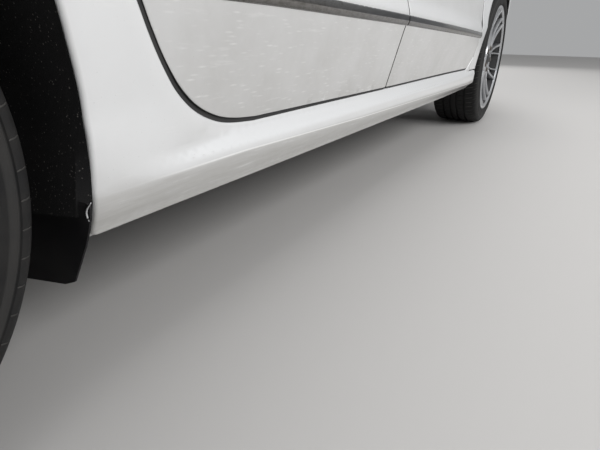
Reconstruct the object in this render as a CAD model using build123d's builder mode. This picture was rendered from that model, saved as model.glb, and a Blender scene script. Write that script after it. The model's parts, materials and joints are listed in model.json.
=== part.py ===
"""Station wagon, white, five doors, built as an assembly of real panels, wheels and running gear.

Frame: +X forwards, +Y to the car's left, +Z up, millimetres. The origin is on the ground, at the middle of the
car's length and width. Stations along the car are counted from the rear axle and moved to the frame by XR.
"""

import os
from math import cos, radians, sin

from build123d import *

os.makedirs("parts", exist_ok=True)

# ---------------------------------------------------------------- driving sizes
LENGTH = 4770.0
REAR_OVERHANG = 1065.0
WHEELBASE = 2791.0
XR = -LENGTH / 2 + REAR_OVERHANG  # rear axle
XF = XR + WHEELBASE  # front axle
TRACK_HALF = 784.0
TYRE_R = 333.0
TYRE_W = 235.0
RIM_R = 254.5  # outer flange, 19 inch rim
ARCH_R = 386.0
ARCH_Z = 355.0
WELL_IN_FRONT = 470.0  # inner wall of the front wheel well, half width
WELL_IN_REAR = 570.0
GAP = 6.0  # shut lines
DOOR_T = 62.0
STEER_MAX = 34.0
KING_Y = 730.0

# ---------------------------------------------------------------- the outer surface, as sections
# heights of the side profile's corners, and its half widths on the doors and at the axles
SILL_Z = (213.0, 258.0, 281.0, 296.0)
DOOR_Y = dict(bottom=860, crease=882, bulge=889, tuck=873, low=898, under=914, trim=920, ledge=905, mid=893, shoulder=914)
AXLE_Y = dict(bottom=850, crease=880, bulge=892, tuck=895, low=899, under=901, trim=902, ledge=902, mid=903, shoulder=906)
# columns: x from the rear axle, width factor, ledge (1 on the doors, 0 at the axles), shoulder height,
#          half width and height of the belt edge, height at the centre line
STATIONS = [
    (-1065, 0.700, 0.0, 900, 560, 950, 955),
    (-1010, 0.830, 0.0, 900, 690, 950, 955),
    (-900, 0.925, 0.0, 899, 780, 950, 955),
    (-600, 0.982, 0.0, 896, 838, 950, 955),
    (0, 1.000, 0.1, 890, 868, 950, 955),
    (560, 0.999, 0.9, 884, 878, 948, 953),
    (1284, 1.000, 1.0, 876, 880, 944, 949),
    (2050, 0.998, 1.0, 866, 862, 936, 960),
    (2420, 0.996, 0.4, 858, 800, 922, 985),
    (2791, 0.998, 0.0, 842, 752, 900, 958),
    (3180, 0.972, 0.0, 800, 704, 856, 908),
    (3480, 0.900, 0.0, 742, 648, 790, 838),
    (3640, 0.790, 0.0, 690, 560, 732, 778),
    (3706, 0.680, 0.0, 660, 500, 700, 745),
]


def section_points(st, inset, lid):
    """One closed section, from the bottom centre up the +Y side and down the other. lid lifts the top clear."""
    x, k, l, zsh, ybl, zbl, zc = st
    y = {n: k * (DOOR_Y[n] * l + AXLE_Y[n] * (1 - l)) - inset for n in DOOR_Y}
    z0, z1, z2, z3 = SILL_Z
    i = inset
    side = [
        ("L", (y["bottom"], z0 + i * 0.6)),
        ("L", (y["crease"], z1)),
        ("L", (y["bulge"], z2)),
        ("L", (y["tuck"], z3)),
        ("A", (y["low"], 395.0), (y["under"], 458.0)),
        ("L", (y["trim"], 482.0)),
        ("L", (y["ledge"], 524.0)),
        ("A", (y["mid"], (524.0 + zsh) / 2 - 30), (y["shoulder"], zsh - 0.3 * i)),
        ("L", (ybl - i, zbl - i + lid)),
    ]
    return x, z0 + i * 0.6, zc - i + lid, side


def hull(inset=0.0, first=0, last=None, lid=0.0):
    """The lower body's outer surface, moved inwards by inset, as one closed solid."""
    with BuildPart() as part:
        for st in STATIONS[first:last]:
            x, zb, zc, side = section_points(st, inset, lid)
            with BuildSketch(Plane(origin=(XR + x, 0, 0), x_dir=(0, 1, 0), z_dir=(1, 0, 0))):
                with BuildLine():
                    at = (0.0, zb)
                    for seg in side:
                        if seg[0] == "L":
                            Line(at, seg[1])
                        else:
                            ThreePointArc(at, seg[1], seg[2])
                        at = seg[-1]
                    top = at
                    ThreePointArc(top, (0.0, zc), (-top[0], top[1]))
                    ends = [(0.0, zb)] + [s[-1] for s in side]
                    for n in range(len(side) - 1, -1, -1):
                        a, b = ends[n + 1], ends[n]
                        if side[n][0] == "L":
                            Line((-a[0], a[1]), (-b[0], b[1]))
                        else:
                            m = side[n][1]
                            ThreePointArc((-a[0], a[1]), (-m[0], m[1]), (-b[0], b[1]))
                make_face()
        loft()
    return part.part


# greenhouse plan outlines, columns: z; windscreen centre x, corner x and half width; side start x and half width;
# side middle x and half width; side end x and half width; rear corner x and half width; rear centre x
GREENHOUSE = [
    (915.0, 2480, 2290, 700, 2190, 788, 900, 872, -740, 808, -950, 610, -1000),
    (1190.0, 2105, 1930, 640, 1822, 716, 800, 766, -620, 722, -800, 560, -850),
    (1470.0, 1700, 1590, 500, 1480, 580, 600, 606, -480, 566, -620, 450, -660),
]
# roof, columns: x, centre height, edge height at 650 mm out
ROOF = [
    (-1150, 1345, 1300),
    (-600, 1404, 1362),
    (0, 1443, 1402),
    (800, 1462, 1420),
    (1500, 1436, 1394),
    (2600, 1330, 1290),
]


def greenhouse(inset=0.0):
    """The cabin's upper body as one closed solid, moved inwards by inset."""
    i = inset
    with BuildPart() as sides:
        for z, wc, wx, wy, ax, ay, mx, my, dx, dy, rx, ry, rc in GREENHOUSE:
            with BuildSketch(Plane.XY.offset(z)):
                with BuildLine():
                    ThreePointArc((XR + wx - i, -wy + i), (XR + wc - i, 0), (XR + wx - i, wy - i))
                    Line((XR + wx - i, wy - i), (XR + ax - i, ay - i))
                    ThreePointArc((XR + ax - i, ay - i), (XR + mx, my - i), (XR + dx + i, dy - i))
                    Line((XR + dx + i, dy - i), (XR + rx + i, ry - i))
                    ThreePointArc((XR + rx + i, ry - i), (XR + rc + i, 0), (XR + rx + i, -ry + i))
                    Line((XR + rx + i, -ry + i), (XR + dx + i, -dy + i))
                    ThreePointArc((XR + dx + i, -dy + i), (XR + mx, -my + i), (XR + ax - i, -ay + i))
                    Line((XR + ax - i, -ay + i), (XR + wx - i, -wy + i))
                make_face()
        loft()
    with BuildPart() as under_roof:
        for x, zc, ze in ROOF:
            with BuildSketch(Plane(origin=(XR + x, 0, 0), x_dir=(0, 1, 0), z_dir=(1, 0, 0))):
                with BuildLine():
                    ThreePointArc((650, ze - i), (0, zc - i), (-650, ze - i))
                    Line((-650, ze - i), (-1100, ze - i - 60))
                    Line((-1100, ze - i - 60), (-1100, 700))
                    Line((-1100, 700), (1100, 700))
                    Line((1100, 700), (1100, ze - i - 60))
                    Line((1100, ze - i - 60), (650, ze - i))
                make_face()
        loft()
        add(sides.part, mode=Mode.INTERSECT)
    return under_roof.part


SIDE = Plane(origin=(0, 0, 0), x_dir=(1, 0, 0), z_dir=(0, -1, 0))  # looking along +Y: local x is X, local y is Z


def side_prism(points, y0, y1, grow=0.0, r=0.0):
    """A side-view outline, in x from the rear axle and z, pushed from half width y0 to y1 on the right side (-Y)."""
    with BuildPart() as part:
        with BuildSketch(SIDE.offset(y0)) as sk:
            with BuildLine():
                Polyline(*[(XR + px, pz) for px, pz in points], close=True)
            make_face()
            if r:
                fillet(sk.vertices(), r)
            if grow:
                offset(amount=grow, kind=Kind.INTERSECTION)
        extrude(amount=y1 - y0)
    return part.part


def plan_prism(points, z0, z1, grow=0.0):
    """A plan outline given on the +Y side from the centre line, mirrored, pushed from z0 to z1."""
    whole = list(points) + [(px, -py) for px, py in reversed(points) if py > 0]
    with BuildPart() as part:
        with BuildSketch(Plane.XY.offset(z0)):
            with BuildLine():
                Polyline(*[(XR + px, py) for px, py in whole], close=True)
            make_face()
            if grow:
                offset(amount=grow, kind=Kind.INTERSECTION)
        extrude(amount=z1 - z0)
    return part.part


def block(x0, x1, y0, y1, z0, z1):
    """A box between two corners, with x from the rear axle."""
    with BuildPart() as part:
        with Locations((XR + (x0 + x1) / 2, (y0 + y1) / 2, (z0 + z1) / 2)):
            Box(x1 - x0, y1 - y0, z1 - z0)
    return part.part


def both(shape):
    """The right-hand shape with its mirror image on the left."""
    return [shape, flipped(shape)]


def flipped(shape):
    with BuildPart() as part:
        mirror(shape, about=Plane.XZ)
    return part.part


def cut(base, *tools):
    with BuildPart() as part:
        add(base)
        for tool in tools:
            for one in tool if isinstance(tool, list) else [tool]:
                add(one, mode=Mode.SUBTRACT)
    return part.part


def meet(base, *tools):
    with BuildPart() as part:
        add(base)
        for tool in tools:
            add(tool, mode=Mode.INTERSECT)
    return part.part


def join(*shapes):
    with BuildPart() as part:
        for shape in shapes:
            for one in shape if isinstance(shape, list) else [shape]:
                add(one)
    return part.part


def save(shape, name):
    shape.label = name
    export_step(shape, f"parts/{name}.step")


# ---------------------------------------------------------------- outlines on the side (x from rear axle, z)
FRONT_DOOR = [(1284, 309), (2240, 309), (2292, 360), (2300, 640), (2296, 905), (2262, 936), (2118, 958), (1808, 1188), (1590, 1330), (1450, 1346), (1290, 1350), (1285, 940), (1284, 880)]
REAR_DOOR = [(640, 309), (1284, 309), (1284, 880), (1283, 940), (1278, 1351), (600, 1353), (345, 1336), (150, 1180), (60, 960), (150, 860), (340, 640), (442, 486), (492, 402), (548, 335)]
REAR_OPENING = [(640, 309), (1284, 309), (1284, 880), (1284, 1351), (600, 1354), (329, 1339), (139, 1182), (54, 960), (148, 860), (340, 640), (442, 486), (492, 402), (548, 335)]
FRONT_WINDOW = [(1326, 968), (2042, 964), (1787, 1156), (1592, 1284), (1450, 1297), (1330, 1301)]
REAR_WINDOW = [(150, 985), (1236, 970), (1236, 1302), (620, 1304), (432, 1294), (228, 1180)]
QUARTER_WINDOW = [(-560, 1010), (-35, 1000), (72, 1185), (212, 1290), (-60, 1288), (-340, 1262)]

lower = hull()
upper = greenhouse()

# nose and tail as seen from the side
with BuildPart() as side_shape:
    with BuildSketch(SIDE.offset(-1200)):
        with BuildLine():
            Line((XR - 940, 150), (XR + 3540, 150))
            ThreePointArc((XR + 3540, 150), (XR + 3700, 400), (XR + 3660, 640))
            Line((XR + 3660, 640), (XR + 3560, 850))
            Line((XR + 3560, 850), (XR + 3560, 1600))
            Line((XR + 3560, 1600), (XR - 980, 1600))
            Line((XR - 980, 1600), (XR - 990, 760))
            Line((XR - 990, 760), (XR - 1050, 640))
            ThreePointArc((XR - 1050, 640), (XR - 1060, 420), (XR - 940, 150))
        make_face()
    extrude(amount=2400)
lower = meet(lower, side_shape.part)

def hollow(inset):
    """The inside of the lower body, inset from its skin, stopped short of the nose and tail and open upwards."""
    with BuildPart() as part:
        add(hull(inset, 1, -2, lid=300.0))
        with Locations((XR + 1290, 0, 800)):
            Box(4390, 3000, 2000, mode=Mode.INTERSECT)
    return part.part


inner75 = hollow(75.0)
inner62 = hollow(DOOR_T)
inner12 = hull(12.0, 1, -1)
upper_in = greenhouse(38.0)
glass_out = greenhouse(9.0)
glass_in = greenhouse(14.0)


with BuildPart() as front_arch:
    with BuildSketch(SIDE.offset(WELL_IN_FRONT)):
        with Locations((XF, ARCH_Z)):
            Circle(ARCH_R)
        with Locations((XF, ARCH_Z - 150)):
            Rectangle(2 * ARCH_R * 0.965, 300)
    extrude(amount=1000 - WELL_IN_FRONT)
with BuildPart() as rear_arch:
    with BuildSketch(SIDE.offset(WELL_IN_REAR)):
        with Locations((XR, ARCH_Z)):
            Circle(ARCH_R + 2)
        with Locations((XR, ARCH_Z - 150)):
            Rectangle(2 * ARCH_R * 1.010, 300)
    extrude(amount=1000 - WELL_IN_REAR)
arches = both(front_arch.part) + both(rear_arch.part)

front_door_hole = side_prism(FRONT_DOOR, 380, 1000, grow=GAP / 2 + 1)
rear_door_hole = side_prism(REAR_OPENING, 380, 1000, grow=GAP / 2 + 1)
front_door_cut = side_prism(FRONT_DOOR, 380, 1000, grow=-GAP / 2)
rear_door_cut = side_prism(REAR_DOOR, 380, 1000, grow=-GAP / 2)

HOOD = [(2520, 0), (2500, 400), (2440, 700), (2791, 672), (3180, 620), (3480, 560), (3600, 500), (3640, 250), (3650, 0)]
hood_zone = plan_prism(HOOD, 500, 1300)
hood_hole = plan_prism(HOOD, 500, 1300, grow=GAP)


def front_prism(points, x0, x1, grow=0.0):
    """A front-view outline given on the +Y side, mirrored, pushed from station x0 to x1."""
    whole = list(points) + [(-py, pz) for py, pz in reversed(points) if py > 0]
    with BuildPart() as part:
        with BuildSketch(Plane(origin=(XR + x0, 0, 0), x_dir=(0, 1, 0), z_dir=(1, 0, 0))):
            with BuildLine():
                Polyline(*whole, close=True)
            make_face()
            if grow:
                offset(amount=grow, kind=Kind.INTERSECTION)
        extrude(amount=x1 - x0)
    return part.part


# ---------------------------------------------------------------- bonnet
lower_down = lower.moved(Location((0, 0, -24)))
bonnet = cut(meet(lower, hood_zone, block(2400, 3572, -900, 900, 640, 1200)), lower_down)
save(bonnet, "bonnet")

# ---------------------------------------------------------------- doors
side_shell = cut(meet(lower, block(-300, 2400, -1000, -300, 220, 948)), inner62)
upper_shell = cut(meet(upper, block(-1100, 2600, -1000, 1000, 918, 1480)), upper_in)
DOORS = [
    # name, cut, window outline
    ("front_door", front_door_cut, FRONT_WINDOW),
    ("rear_door", rear_door_cut, REAR_WINDOW),
]
for name, prism, window in DOORS:
    skin = meet(side_shell, prism)
    frame = cut(meet(upper_shell, prism), side_prism(window, 380, 1000))
    door = join(skin, frame)
    save(door, f"{name}_right")
    save(flipped(door), f"{name}_left")
    glass = cut(meet(glass_out, side_prism(window, 380, 1000, grow=-1.5)), glass_in)
    save(glass, f"{name}_glass_right")
    save(flipped(glass), f"{name}_glass_left")

# ---------------------------------------------------------------- tailgate
TAIL_REAR = [(0, 668), (572, 668), (589, 900), (571, 1190), (497, 1372), (483, 1480), (0, 1480)]
TAIL_OPENING = [(0, 660), (581, 660), (600, 900), (588, 1190), (516, 1376), (502, 1480), (0, 1480)]
REAR_GLASS = [(0, 985), (520, 985), (508, 1190), (452, 1335), (0, 1345)]
tail_zone = front_prism(TAIL_REAR, -1200, -640)
tail_hole = front_prism(TAIL_OPENING, -1200, -632)
tail_low = cut(meet(lower, tail_zone, block(-1100, -640, -620, 620, 600, 935)), block(-920, -600, -700, 700, 500, 1000))
tail_high = cut(meet(upper_shell, tail_zone), front_prism(REAR_GLASS, -1200, -690))
with BuildPart() as spoiler:
    with BuildSketch(SIDE.offset(-470)):
        with BuildLine():
            Polyline((XR - 646, 1392), (XR - 700, 1386), (XR - 800, 1368), (XR - 806, 1358), (XR - 700, 1350), (XR - 646, 1356), close=True)
        make_face()
    extrude(amount=940)
save(join(tail_low, tail_high, spoiler.part), "tailgate")
save(cut(meet(glass_out, front_prism(REAR_GLASS, -1200, -690, grow=-1.5)), glass_in), "tailgate_glass")

# ---------------------------------------------------------------- roof, windscreen, quarter windows
ROOF_ZONE = [(-622, 0), (-600, 455), (-400, 520), (600, 560), (1250, 535), (1480, 500), (1600, 440), (1650, 300), (1665, 0)]
SCREEN = [(0, 958), (560, 966), (664, 985), (610, 1190), (505, 1354), (400, 1376), (0, 1392)]
save(cut(meet(upper, plan_prism(ROOF_ZONE, 1200, 1500)), upper.moved(Location((0, 0, -14)))), "roof_panel")
screen_hole = front_prism(SCREEN, 1640, 2700)
save(cut(meet(glass_out, front_prism(SCREEN, 1640, 2700, grow=-1.5)), glass_in), "windscreen")
quarter = cut(meet(glass_out, side_prism(QUARTER_WINDOW, 380, 1000, grow=-1.5)), glass_in)
save(join(both(quarter)), "quarter_windows")

# ---------------------------------------------------------------- zones of the bumpers and lamps, side outlines
REAR_BUMPER_ZONE = [(-1200, 100), (-300, 100), (-300, 560), (-560, 640), (-900, 652), (-1200, 652)]
FRONT_BUMPER_ZONE = [(3100, 100), (3800, 100), (3800, 596), (3480, 596), (3300, 628), (3150, 560), (3100, 560)]
TAIL_LAMP = [(-1200, 735), (-790, 745), (-700, 880), (-1200, 885)]
HEAD_LAMP = [(3290, 668), (3420, 606), (3800, 602), (3800, 664), (3560, 700), (3400, 716)]
GRILLE_HOLE = [(0, 300), (390, 300), (450, 400), (430, 520), (0, 560)]
rear_bumper_zone = side_prism(REAR_BUMPER_ZONE, -1000, 1000)
front_bumper_zone = side_prism(FRONT_BUMPER_ZONE, -1000, 1000)
tail_lamp_zone = side_prism(TAIL_LAMP, 606, 1000)
tail_lamp_hole = side_prism(TAIL_LAMP, 604, 1000, grow=2.0)
head_lamp_zone = side_prism(HEAD_LAMP, 440, 1000)
head_lamp_hole = side_prism(HEAD_LAMP, 438, 1000, grow=3.0)

# ---------------------------------------------------------------- body shell
SHELL_ZONE = [(-1060, 200), (2424, 200), (2424, 297), (2299, 297), (2299, 950), (-1060, 950)]
body_side = cut(
    meet(lower, side_prism(SHELL_ZONE, -1000, 1000)),
    inner75,
    both(front_door_hole),
    both(rear_door_hole),
    arches,
    tail_hole,
    rear_bumper_zone,
    both(tail_lamp_hole),
    block(-1200, 2500, -690, 690, 100, 300),
)
body_upper = cut(
    upper_shell,
    both(front_door_hole),
    both(rear_door_hole),
    both(side_prism(QUARTER_WINDOW, 380, 1000)),
    screen_hole,
    tail_hole,
    plan_prism(ROOF_ZONE, 1200, 1500, grow=2.0),
)
with BuildPart() as b_pillar:
    with BuildSketch(Plane(origin=(XR + 1225, 0, 0), x_dir=(0, 1, 0), z_dir=(1, 0, 0))):
        with BuildLine():
            Polyline((-788, 290), (-788, 380), (-806, 420), (-806, 880), (-788, 950), (-700, 1180), (-582, 1380), (-568, 1406), (-543, 1406), (-660, 1180), (-745, 940), (-740, 290), close=True)
        make_face()
    extrude(amount=115)


def wheelhouse(xc, wall, out, thick, r, floor_z):
    """A wheelhouse on the right: half tube of radius r round the axle station xc, with its inner wall."""
    with BuildPart() as part:
        with BuildSketch(SIDE.offset(wall)):
            with Locations((XR + xc, ARCH_Z)):
                Circle(r)
        extrude(amount=out - wall)
        with BuildSketch(SIDE.offset(wall + thick)):
            with Locations((XR + xc, ARCH_Z)):
                Circle(r - thick)
        extrude(amount=out - wall, mode=Mode.SUBTRACT)
        with Locations((XR + xc, 0, floor_z - 500)):
            Box(2000, 4000, 1000, mode=Mode.SUBTRACT)
    return part.part


RIGHT_BOXES = [
    # x0, x1, y0, y1, z0, z1
    (404, 2345, -806, -688, 222, 300),  # sill box
    (2215, 2345, -806, -745, 380, 900),  # hinge pillar
    (2215, 2345, -788, -745, 222, 380),
    (2345, 3560, -452, -402, 362, 450),  # front rail
    (2275, 2345, -760, -402, 362, 450),
    (2345, 3420, -466, -452, 362, 770),  # apron
    (2700, 2882, -640, -452, 744, 770),  # strut tower
    (1260, 1340, -775, -715, 205, 226),  # jacking pad
]
shell = join(
    body_side,
    body_upper,
    both(b_pillar.part),
    *[both(block(*row)) for row in RIGHT_BOXES],
    both(wheelhouse(0, WELL_IN_REAR - 6, 850, 6, ARCH_R + 6, 440)),
    block(2250, 2275, -760, -132, 222, 900),
    block(2250, 2275, 132, 760, 222, 900),
    block(2250, 2275, -132, 132, 382, 900),
    block(2250, 2424, -700, 700, 880, 904),
    block(3530, 3560, -452, 452, 300, 600),
)
save(max(shell.solids(), key=lambda piece: piece.volume), "body_shell")  # without the slivers left at the door cuts

# ---------------------------------------------------------------- other outer panels
cowl_zone = plan_prism([(2302, 0), (2302, 702), (2434, 702), (2520, 400), (2560, 0)], 700, 1100)
save(cut(meet(lower, cowl_zone), lower.moved(Location((0, 0, -14))), greenhouse(-4.0), hood_hole, block(2290, 2560, -800, 800, 800, 904)), "cowl_panel")
fender = cut(
    meet(lower, side_prism([(2304, 301), (3520, 301), (3520, 980), (2304, 980)], 0, 1000)),
    inner12,
    hood_hole,
    front_arch.part,
    front_bumper_zone,
    head_lamp_hole,
    block(2290, 2530, -705, 0, 700, 1000),
    block(2290, 3600, -470, 0, 250, 1000),
)
save(join(both(fender)), "front_fenders")
save(join(both(cut(meet(lower, head_lamp_zone), hull(60.0, 1, -1), block(3560, 3800, -440, 440, 500, 800)))), "headlamps")
save(join(both(cut(meet(lower, tail_lamp_zone), hull(58.0, 1, -1)))), "tail_lamps")
grille_hole = front_prism(GRILLE_HOLE, 3560, 3800)
front_bumper = cut(
    meet(lower, side_prism([(3100, 200), (3800, 200), (3800, 593), (3480, 593), (3302, 624), (3152, 557), (3100, 557)], -1000, 1000)),
    inner12,
    arches,
    grille_hole,
    block(3000, 3500, -760, 760, 150, 300),
)
save(front_bumper, "front_bumper")
save(
    cut(
        meet(lower, side_prism([(-1200, 200), (-300, 200), (-300, 557), (-560, 637), (-900, 649), (-1200, 649)], -1000, 1000)),
        inner12,
        arches,
        block(-900, -300, -760, 760, 150, 300),
        block(-1100, -900, -480, 480, 150, 310),
    ),
    "rear_bumper",
)
with BuildPart() as grille:
    with BuildSketch(Plane(origin=(XR + 3612, 0, 0), x_dir=(0, 1, 0), z_dir=(1, 0, 0))):
        with BuildLine():
            Polyline(*[(py, pz) for px, pz in [(0, 0)] for py, pz in GRILLE_HOLE + [(-a, b) for a, b in reversed(GRILLE_HOLE) if a > 0]], close=True)
        make_face()
        offset(amount=-2.0, kind=Kind.INTERSECTION)
        for n in range(7):
            with Locations((0, 326 + 34 * n)):
                Rectangle(700 if n else 640, 22, mode=Mode.SUBTRACT)
    extrude(amount=18)
    with BuildSketch(Plane(origin=(XR + 3614, 0, 0), x_dir=(0, 1, 0), z_dir=(1, 0, 0))):
        for y in (-250, -125, 0, 125, 250):
            with Locations((y, 425)):
                Rectangle(8, 224)
    extrude(amount=10)
save(grille.part, "grille")

# roof rails on three feet a side
with BuildPart() as rail:
    with BuildSketch(SIDE.offset(538)):
        with BuildLine():
            Polyline((XR - 420, 1396), (XR - 300, 1432), (XR + 300, 1462), (XR + 800, 1473), (XR + 1150, 1465), (XR + 1300, 1424), (XR + 1250, 1424), (XR + 1140, 1449), (XR + 800, 1457), (XR + 300, 1446), (XR - 290, 1416), (XR - 370, 1396), close=True)
        make_face()
    extrude(amount=24)
    for x, z in ((-395, 1390), (420, 1430), (1275, 1410)):
        with Locations((XR + x, -550, z + 8)):
            Box(60, 24, 50)
save(cut(join(both(rail.part)), upper), "roof_rails")


# ---------------------------------------------------------------- floor, tunnel, heel board, load floor
FLOOR_BOXES = [
    # x0, x1, y0, y1, z0, z1
    (772, 2250, -688, -120, 232, 254),
    (772, 2250, 120, 688, 232, 254),
    (772, 2250, -132, -120, 254, 380),
    (772, 2250, 120, 132, 254, 380),
    (750, 2250, -132, 132, 368, 380),
    (750, 772, -688, 688, 380, 462),
    (750, 772, -688, -120, 232, 380),
    (750, 772, 120, 688, 232, 380),
    (396, 772, -688, 688, 440, 462),
    (396, 418, -562, 562, 440, 580),
    (-900, 418, -562, 562, 558, 580),
    (-895, -396, -745, 745, 558, 580),
]
save(join(*[block(*row) for row in FLOOR_BOXES]), "floor_pan")


# ---------------------------------------------------------------- wheel arch liners with flaps ahead of the wheels
def liner(xc, wall, out):
    """A liner on the right: half tube 5 mm thick inside the arch, an inner wall with a port, a flap ahead."""
    with BuildPart() as part:
        with BuildSketch(SIDE.offset(wall)):
            with Locations((XR + xc, ARCH_Z)):
                Circle(ARCH_R - 2)
        extrude(amount=out - wall)
        with BuildSketch(SIDE.offset(wall + 5)):
            with Locations((XR + xc, ARCH_Z)):
                Circle(ARCH_R - 7)
        extrude(amount=out - wall, mode=Mode.SUBTRACT)
        with Locations((XR + xc, 0, 250 - 500)):
            Box(2000, 4000, 1000, mode=Mode.SUBTRACT)
        with Locations((XR + xc, -wall, 340)):
            Box(400, 60, 300, mode=Mode.SUBTRACT)
        with Locations((XR + xc, -585, 720)):
            Cylinder(36, 80, mode=Mode.SUBTRACT)
        with BuildSketch(Plane(origin=(XR + xc + 362, 0, 0), x_dir=(0, 1, 0), z_dir=(1, 0, 0))):
            with BuildLine():
                Polyline((-out + 72, 262), (-out, 262), (-out + 4, 232), (-out + 16, 178), (-out + 72, 172), close=True)
            make_face()
        extrude(amount=6)
    return part.part


save(join(both(liner(0, WELL_IN_REAR + 2, 884)), both(liner(WHEELBASE, WELL_IN_FRONT + 2, 880))), "arch_liners")

# ---------------------------------------------------------------- wheels
HUB_Y = TRACK_HALF + 45.0  # mounting face of the wheel
DISC_R = 156.0
SPOKES = 10


def wheel_pieces():
    """Tyre and rim with its brake disc, for the wheel on the right, about the Y axis at the origin."""
    c = -TRACK_HALF
    with BuildPart() as tyre:
        with BuildSketch(Plane(origin=(0, c, 0), x_dir=(1, 0, 0), z_dir=(0, 0, 1))):
            with BuildLine():
                Polyline((256, -106), (241, -105.8), (241, 105.8), (256, 106))
                ThreePointArc((256, 106), (290, 117.5), (317, 112))
                ThreePointArc((317, 112), (328, 105), (331.5, 94))
                ThreePointArc((331.5, 94), (TYRE_R, 0), (331.5, -94))
                ThreePointArc((331.5, -94), (328, -105), (317, -112))
                ThreePointArc((317, -112), (290, -117.5), (256, -106))
            make_face()
        revolve(axis=Axis.Y)
    with BuildPart() as rim:
        with BuildSketch(Plane(origin=(0, c, 0), x_dir=(1, 0, 0), z_dir=(0, 0, 1))):
            with BuildLine():
                Polyline(
                    (240.5, 106), (240.5, 60), (232, 40), (232, -40), (240.5, -60), (240.5, -106.4), (RIM_R, -106.4),
                    (RIM_R, -112), (236, -112), (230, -98), (226, -40), (226, 40), (231, 60), (231, 112), (RIM_R, 112), (RIM_R, 106.4), (240.5, 106.4), close=True)
            make_face()
        revolve(axis=Axis.Y)
        with BuildSketch(Plane(origin=(0, c - 101, 0), x_dir=(1, 0, 0), z_dir=(0, 1, 0))):
            Circle(74)
        extrude(amount=56)
        with PolarLocations(0, SPOKES):
            pass
        with BuildSketch(Plane(origin=(0, c - 100, 0), x_dir=(1, 0, 0), z_dir=(0, 1, 0))):
            with PolarLocations(147, SPOKES):
                Rectangle(170, 17)
        extrude(amount=34)
        with BuildSketch(Plane(origin=(0, -HUB_Y, 0), x_dir=(1, 0, 0), z_dir=(0, 1, 0))):
            Circle(78)
        extrude(amount=12)
        with BuildSketch(Plane(origin=(0, -HUB_Y + 12, 0), x_dir=(1, 0, 0), z_dir=(0, 1, 0))):
            Circle(DISC_R)
        extrude(amount=26)
    return tyre.part, rim.part


def upright(xc, steered):
    """Hub carrier with its brake caliper, on the right, at axle station xc, in the car's frame."""
    face = HUB_Y - 39  # inner face of the disc
    with BuildPart() as part:
        with BuildSketch(Plane(origin=(XR + xc, -face + 1, TYRE_R), x_dir=(1, 0, 0), z_dir=(0, 1, 0))):
            Circle(46)
        extrude(amount=70)
        with Locations((XR + xc, -KING_Y + 4, 333)):
            Box(90, 44, 226)
        with Locations((XR + xc - 128, -(face - 32), 333)):
            Box(74, 44, 150)
        with Locations((XR + xc - 70, -(face - 32), 333)):
            Box(60, 44, 70)
        with Locations((XR + xc - 174, -(face - 4), 333)):
            Box(20, 100, 150)
        with Locations((XR + xc - 150, -(face + 43), 333)):
            Box(68, 22, 120)
        if steered:
            with Locations((XR + xc, -KING_Y, 229)):
                Cylinder(22, 24)
            with Locations((XR + xc - 60, -KING_Y + 18, 260)):
                Box(90, 22, 18)
    return part.part


tyre, rim = wheel_pieces()
tyre_left, rim_left = flipped(tyre), flipped(rim)
for end, x in (("front", XF), ("rear", XR)):
    for side, t, r in (("right", tyre, rim), ("left", tyre_left, rim_left)):
        save(t.moved(Location((x, 0, TYRE_R))), f"{end}_tyre_{side}")
        save(r.moved(Location((x, 0, TYRE_R))), f"{end}_wheel_{side}")
knuckle = upright(WHEELBASE, True)
save(knuckle, "front_knuckle_right")
save(flipped(knuckle), "front_knuckle_left")

# ---------------------------------------------------------------- axles, subframe, engine, tank, exhaust
def rod(points, r):
    """Round bar through a few points, straight between them with balls at the turns, x from the rear axle."""
    with BuildPart() as part:
        at = [Vector(XR + p[0], p[1], p[2]) for p in points]
        for a, b in zip(at, at[1:]):
            with BuildSketch(Plane(origin=a, z_dir=(b - a).normalized())):
                Circle(r)
            extrude(amount=(b - a).length)
        for p in at[1:-1]:
            with Locations(p):
                Sphere(r)
    return part.part


with BuildPart() as arm_end:
    with Locations((XR + WHEELBASE, -KING_Y, 206)):
        Cylinder(26, 20)
lower_arm = join(
    arm_end.part,
    rod([(2680, -380, 215), (WHEELBASE, -706, 206)], 9),
    rod([(2920, -380, 215), (WHEELBASE, -706, 206)], 9),
    block(2756, 2826, -600, -570, 200, 232),
)
damper = join(
    rod([(WHEELBASE, -585, 520), (WHEELBASE, -585, 742)], 26),
    block(2757, 2825, -600, -570, 490, 522),
    block(2757, 2769, -597, -573, 216, 500),
    block(2813, 2825, -597, -573, 216, 500),
)
save(
    join(
        block(2560, 3060, -400, 400, 196, 226),
        both(join(lower_arm, damper)),
        both(rod([(WHEELBASE, -332, 333), (WHEELBASE, -676, 333)], 13)),
    ),
    "front_subframe",
)
rear_hub = cut(upright(0, False), block(-100, 100, -2000, 2000, 600, 700))
save(
    join(
        block(-60, 60, -540, 540, 330, 420),
        both(rear_hub),
        both(rod([(0, -520, 360), (0, -712, 333)], 24)),
        both(rod([(0, -690, 300), (230, -520, 300)], 16)),
        both(block(200, 396, -536, -504, 284, 330)),
        both(rod([(60, -500, 420), (60, -500, 550)], 34)),
    ),
    "rear_axle",
)
save(block(2820, 3330, -330, 330, 300, 720), "engine")
save(cut(block(424, 744, -560, 560, 268, 432), block(400, 760, -60, 60, 200, 345)), "fuel_tank")
save(
    join(
        rod([(2800, 0, 262), (-560, 0, 262)], 26),
        block(-800, -560, -330, 330, 240, 366),
        both(rod([(-780, -300, 290), (-860, -430, 262), (-1046, -430, 262)], 26)),
    ),
    "exhaust",
)

# ---------------------------------------------------------------- inside
with BuildPart() as dash:
    with BuildSketch(SIDE.offset(-690)):
        with BuildLine():
            Polyline((XR + 2248, 560), (XR + 2060, 520), (XR + 1990, 700), (XR + 2000, 840), (XR + 2110, 890), (XR + 2248, 876), close=True)
        make_face()
    extrude(amount=1380)

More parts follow.
